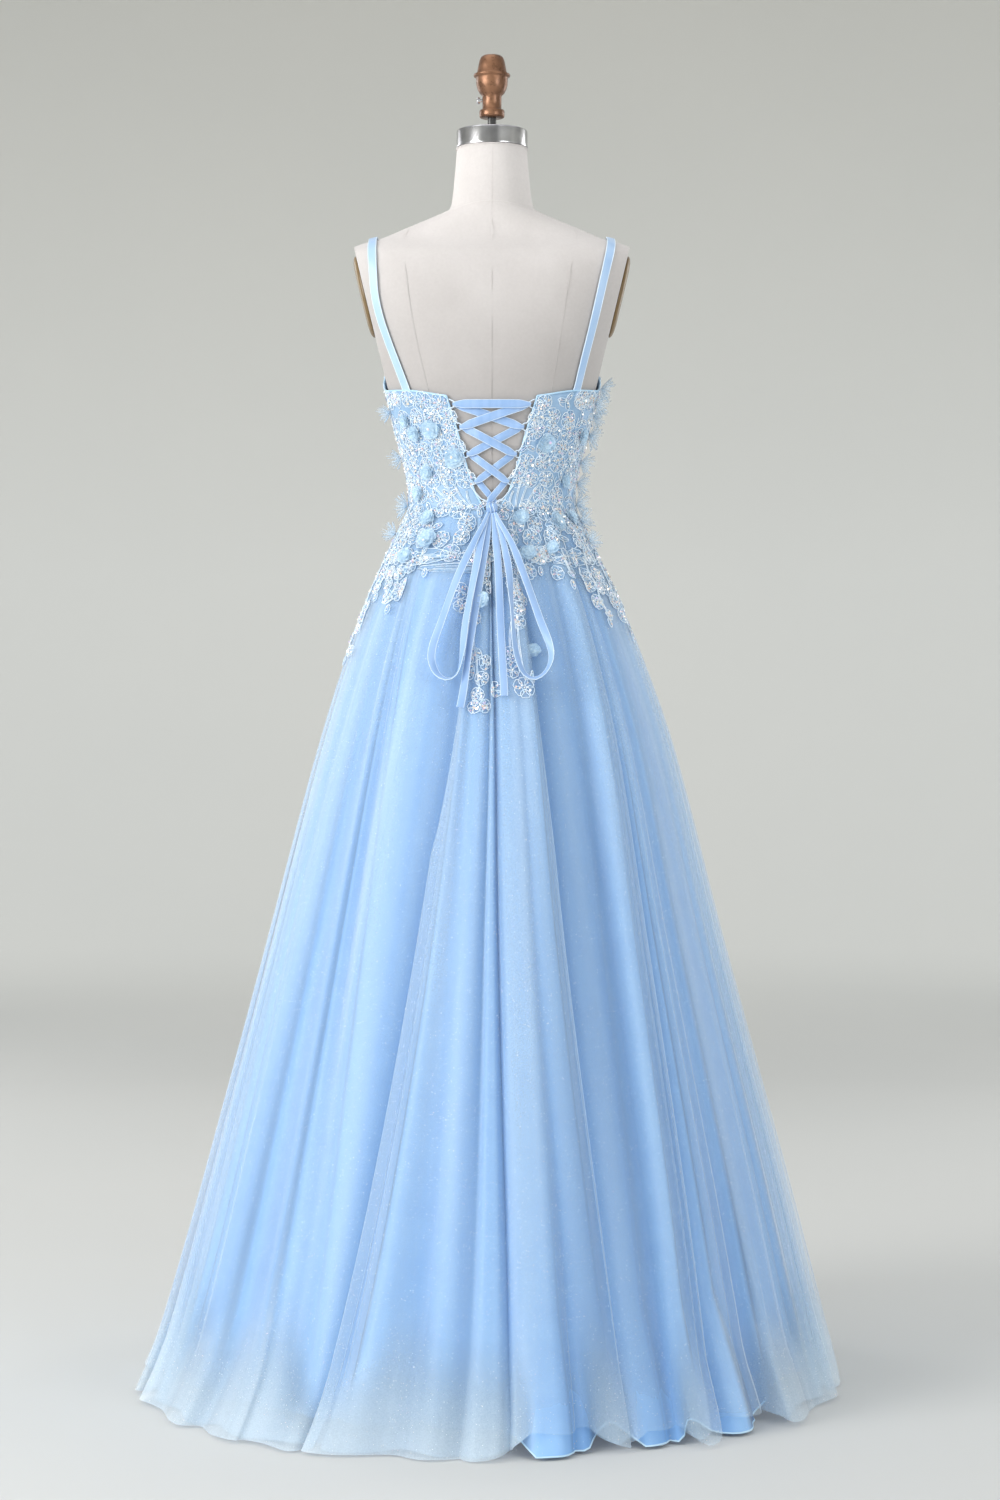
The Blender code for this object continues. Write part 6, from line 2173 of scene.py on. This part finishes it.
    def hang_spray(self, spray: Spray) -> None:
        """One spray on the hips: a branching stem with flowers that shrink down it.

        Args:
            spray: where it hangs, and its size.
        """
        middle, top = SKIRT.cloth_deg(spray.deg, 1.06), self.spray_top
        z, side, stem = top, self.rng.choice((-1, 1)), []
        while z > spray.low_z + 0.004:
            gone = (top - z) / max(0.02, top - spray.low_z)
            radius = lerp(*self.spray_radius, gone) * self.rng.uniform(0.9, 1.1)
            scale = Patch(self.hip_face, middle, z).per_deg()
            half = spray.half_width_deg * 0.003 * (1 - gone) ** 0.8
            spots = (-half, half) if half > radius * 0.95 else (side * radius * 0.8,)
            if half > radius * 1.9:
                spots = (-half, 0.0, half)
            for across in spots:
                height = z + self.rng.uniform(-0.004, 0.004)
                patch = Patch(self.hip_face, middle + across / scale, height, self.rng.uniform(0, 2 * pi))
                self.add_flower(patch, radius, self.rng.choice((4, 5, 5)))
            leaf = Patch(self.hip_face, middle - side * 0.002 / scale, z, pi + side * 0.9)
            self.add_leaf(leaf, radius * 1.2)
            stem.append(self.hip_face(middle + side * 0.002 / scale, z, 0.0006))
            side, z = -side, z - radius * 1.75
        if len(stem) > 1:
            self.add_stem(stem)
        self.add_leaf(Patch(self.hip_face, middle, z + 0.006, pi), 0.012)

    def fill_hips(self) -> None:
        """Covers the cloth just under the waist, then hangs the sprays."""
        row, z = 1, WAIST_Z + self.foot - self.pitch * self.row_share
        while z > self.flowers_end:
            deg = -90.0 + (row % 2) * 3.5
            while deg < 269.0:
                height = z + self.rng.uniform(-0.003, 0.003)
                front = self.in_front(deg)
                if abs(remainder(deg, 360)) > 7 or z < 1.16:
                    patch = self.patch(deg, height)
                    if self.rng.random() < 0.85:
                        scale = self.front_scale if front else 1.0
                        self.add_flower(patch, self.rng.uniform(*self.hip_radius) * scale)
                    else:
                        self.add_leaf(patch, 0.015)
                    if not front and self.rng.random() < 0.6:
                        self.add_tendril(deg + 4.0, height, self.rng.uniform(0.01, 0.018))
                step = self.pitch * (1.15 if front else 1.0) * self.rng.uniform(0.97, 1.12)
                deg += degrees(step / SKIRT.reach(deg, z).xy.length)
            row += 1
            z -= self.pitch * self.row_share
        for spray in self.sprays:
            self.hang_spray(spray)
        self.add_middle_sprays()

    def low_edge(self, deg: float) -> float:
        """How low the lace's net reaches on the hips.

        Args:
            deg: the angle.

        Returns:
            The height.
        """
        low = self.net_low
        for spray in self.sprays:
            away = abs(remainder(deg - spray.deg, 360)) / (spray.half_width_deg * 0.8)
            if away < 1:
                drop = self.net_low - max(spray.low_z, 1.055)
                low = min(low, self.net_low - drop * sqrt(1 - away * away))
        return low

    def build_net(self) -> None:
        """The net under the lace on the hips, in four pieces with scalloped edges."""
        for name, start, end, width in self.nets:
            threads = [lerp(start, end, k / 96) for k in range(97)]
            lows = [self.low_edge(SKIRT.fan(deg, 1.08)) for deg in threads]
            shape, top = Shape(), WAIST_Z - 0.0003
            shape.grid([
                [self.hip_face(deg, lerp(top, low, i / 8), -0.0008) for deg, low in zip(threads, lows)]
                for i in range(9)
            ])
            made = shape.piece(f"hip_net_{name}", [NET_GROUND], [f"hip_lace_{name}"], smooth_deg=None)

    def sew(self, where: str) -> None:
        """Makes the gathered lace into pieces and starts the next ones.

        Args:
            where: the part of the gown that they lie on.
        """
        self.threads.piece(f"{where}_lace", [LACE_CORD, LACE_STITCH], smooth_deg=None)
        self.sequins.piece(f"{where}_sequins", [SEQUIN], smooth_deg=None)
        self.threads, self.sequins = Shape(), Shape()

    def build(self) -> None:
        """Builds the lace on the bodice, then on the hips."""
        self.fill_bodice()
        self.sew("bodice")
        self.fill_hips()
        self.sew("hip")
        self.build_net()


# ------------------------------ tulle flowers


@dataclass
class TulleFlowers:
    """Layered tulle flowers sewn over the lace, round ones and frayed ones."""

    lace: Lace
    # node, angle, height, radius
    large: tuple = (
        ("flower_back_1", 36, 1.288, 0.015), ("flower_back_2", 24, 1.25, 0.015),
        ("flower_back_3", 38, 1.14, 0.017), ("flower_back_4", -34, 1.27, 0.015),
        ("flower_back_5", -44, 1.165, 0.016), ("flower_side_left", 88, 1.19, 0.018),
        ("flower_side_right_1", -88, 1.287, 0.017), ("flower_side_right_2", -86, 1.192, 0.018),
        ("flower_front_1", 128, 1.3, 0.016), ("flower_front_2", 160, 1.23, 0.016),
        ("flower_front_3", 202, 1.236, 0.016), ("flower_front_4", 226, 1.33, 0.016),
        ("flower_front_5", 206, 1.15, 0.017),
    )
    # smaller ones, by how they are cut: angle, height, radius
    small: tuple = (
        (Bloom.ROUND, (
            (51, 1.285, 0.0115), (47, 1.233, 0.012), (58, 1.303, 0.01), (44, 1.17, 0.0125),
            (52, 1.118, 0.012), (60, 1.205, 0.0115), (-68, 1.284, 0.012), (-19, 1.17, 0.012),
            (-20, 1.12, 0.013), (-62, 1.173, 0.012), (-58, 1.222, 0.011), (5, 1.056, 0.014),
            (-17, 0.99, 0.011), (-36, 1.128, 0.011),
        )),
        (Bloom.FRAYED, (
            (84, 1.318, 0.012), (92, 1.258, 0.013), (80, 1.15, 0.013), (-90, 1.352, 0.017),
            (-82, 1.33, 0.015), (-95, 1.316, 0.015), (-84, 1.25, 0.014), (-78, 1.168, 0.015),
            (-92, 1.222, 0.014), (-72, 1.14, 0.013),
        )),
        (Bloom.ROUND, (
            (118, 1.34, 0.012), (140, 1.372, 0.012), (150, 1.27, 0.012), (176, 1.29, 0.012),
            (190, 1.34, 0.011), (216, 1.28, 0.012),
        )),
        (Bloom.FRAYED, ((242, 1.35, 0.012),)),
        (Bloom.ROUND, (
            (240, 1.24, 0.012), (170, 1.16, 0.013), (136, 1.18, 0.013), (228, 1.176, 0.013),
            (112, 1.23, 0.012),
        )),
    )
    # share of the radius, start off the cloth, lift of the tip, petals
    round_layers: tuple = ((1.0, 0.0018, 0.002, 5), (0.8, 0.003, 0.0026, 5), (0.52, 0.004, 0.003, 4))
    frayed_layers: tuple = ((1.2, 0.0014, 0.0085, 15), (1.0, 0.0022, 0.012, 13), (0.7, 0.003, 0.014, 9))
    rng: random.Random = field(default_factory=lambda: random.Random(8))

    def add_petal(
        self, shape: Shape, base: Vector, axes: tuple[Vector, Vector, Vector], length: float, half: float,
        rise: float, lift: float, columns: int,
    ) -> None:
        """One petal as a small curved sheet.

        Args:
            shape: where to add it.
            base: the flower's middle.
            axes: the ways along the petal, across it and out of the cloth.
            length: how long it is.
            half: half its width.
            rise: how far off the cloth it starts.
            lift: how far its tip stands over its base.
            columns: how many points it has across it.
        """
        along, across, out = axes
        phase = self.rng.uniform(0, 2 * pi)
        ruffle, rows = length * (0.07 if columns > 3 else 0.02), []
        for s in (i / 5 for i in range(6)):
            wide, row = half * sin(pi * (0.1 + 0.78 * s)) ** 0.6, []
            for t in (2 * k / (columns - 1) - 1 for k in range(columns)):
                wave = ruffle * sin(3.8 * t + phase) * s * s
                height = rise + lift * s**1.5 + wave + 0.12 * half * t * t * s
                reach = length * (s - 0.16 * t * t * s)
                row.append(base + along * reach + across * (wide * t) + out * height)
            rows.append(row)
        shape.grid(rows)

    def add_bloom(self, shape: Shape, patch: Patch, radius: float, cut: Bloom) -> None:
        """One flower of three layers of petals.

        Args:
            shape: where to add it.
            patch: where it is sewn.
            radius: its size.
            cut: how its petals are cut.
        """
        frayed, out, base = cut is Bloom.FRAYED, patch.outward(), patch.placer()(0.0, 0.0)
        side = Vector((0, 0, 1)).cross(out).normalized()
        up = out.cross(side)
        for share, rise, lift, count in self.frayed_layers if frayed else self.round_layers:
            first = self.rng.uniform(0, 2 * pi)
            for k in range(count):
                turn = first + 2 * pi * (k + self.rng.uniform(-0.2, 0.2)) / count
                along, across = side * cos(turn) + up * sin(turn), up * cos(turn) - side * sin(turn)
                length = radius * share * self.rng.uniform(0.82, 1.08)
                half = length * (0.1 if frayed else 0.68)
                tip = lift * self.rng.uniform(0.7, 1.3)
                axes, columns = (along, across, out), 3 if frayed else 7
                self.add_petal(shape, base, axes, length, half, rise, tip, columns)

    def build(self) -> None:
        """Builds the large flowers one by one, and the small ones together."""
        finishes = {Bloom.ROUND: PETAL_TULLE, Bloom.FRAYED: WISP_TULLE}
        middles, shapes = Shape(), {cut: Shape() for cut in Bloom}
        for node, deg, z, radius in self.large:
            shape, patch = Shape(), Patch(self.lace.cloth_face, deg, z)
            cut = Bloom.FRAYED if "side" in node else Bloom.ROUND
            self.add_bloom(shape, patch, radius, cut)
            shape.piece(f"{node}_petals", [finishes[cut]], [node], smooth_deg=None)
            middles.disc(patch.placer()(0, 0, 0.0095), patch.outward(), 0.002, 8)
        for cut, places in self.small:
            for deg, z, radius in places:
                self.add_bloom(shapes[cut], Patch(self.lace.cloth_face, deg, z), radius, cut)
        shapes[Bloom.ROUND].piece("small_flowers", [PETAL_TULLE], smooth_deg=None)
        shapes[Bloom.FRAYED].piece("frayed_flowers", [WISP_TULLE], smooth_deg=None)
        middles.piece("flower_middles", [SEQUIN], smooth_deg=None)


@dataclass
class GlitterDust:
    """Loose flakes of glitter held in the outer tulle."""

    skirt: Skirt
    count: int = 15000
    smallest: float = 0.00024
    largest: float = 0.00048
    lowest_z: float = 0.008
    off_tulle: float = 0.0007
    seed: int = 3

    def build(self) -> None:
        """Scatters the flakes, thicker in drifts and towards the hem."""
        rng, shape = random.Random(self.seed), Shape()
        while len(shape.faces) < self.count:
            deg = rng.uniform(-90, 270)
            z = WAIST_Z * (1 - sqrt(rng.uniform(0.02, 0.995)))
            if rng.random() > 0.45 + 0.9 * noise.noise(Vector((deg * 0.07, z * 6, 2.0))):
                continue
            place = self.skirt.place(self.skirt.layers[0], deg, max(z, self.lowest_z))
            out = level_out(place)
            tilt = Vector([rng.uniform(-0.8, 0.8) for _ in range(3)])
            size = rng.uniform(self.smallest, self.largest)
            shape.disc(place + out * self.off_tulle, (out + tilt).normalized(), size, 5)
        shape.piece("tulle_glitter", [FLAKE], smooth_deg=None)


# ------------------------------ assembly


def main() -> None:
    """Builds the gown and its form, the studio and the free ribbon first."""
    logging.basicConfig(level=logging.INFO, format="%(name)s: %(message)s")
    Studio().build()
    Bow().build()
    DressForm().build()
    skirt = Skirt()
    skirt.build()
    bodice = Bodice()
    bodice.build()
    Straps().build(bodice)
    Lacing().build(bodice)
    lace = Lace(bodice, skirt)
    lace.build()
    TulleFlowers(lace).build()
    GlitterDust(skirt).build()
    bpy.context.view_layer.update()
    boxes = {"cad": CAD_BOX, "visual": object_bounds()}
    {name: [list(corner) for corner in box] for name, box in boxes.items()}


if __name__ == "__main__":
    main()
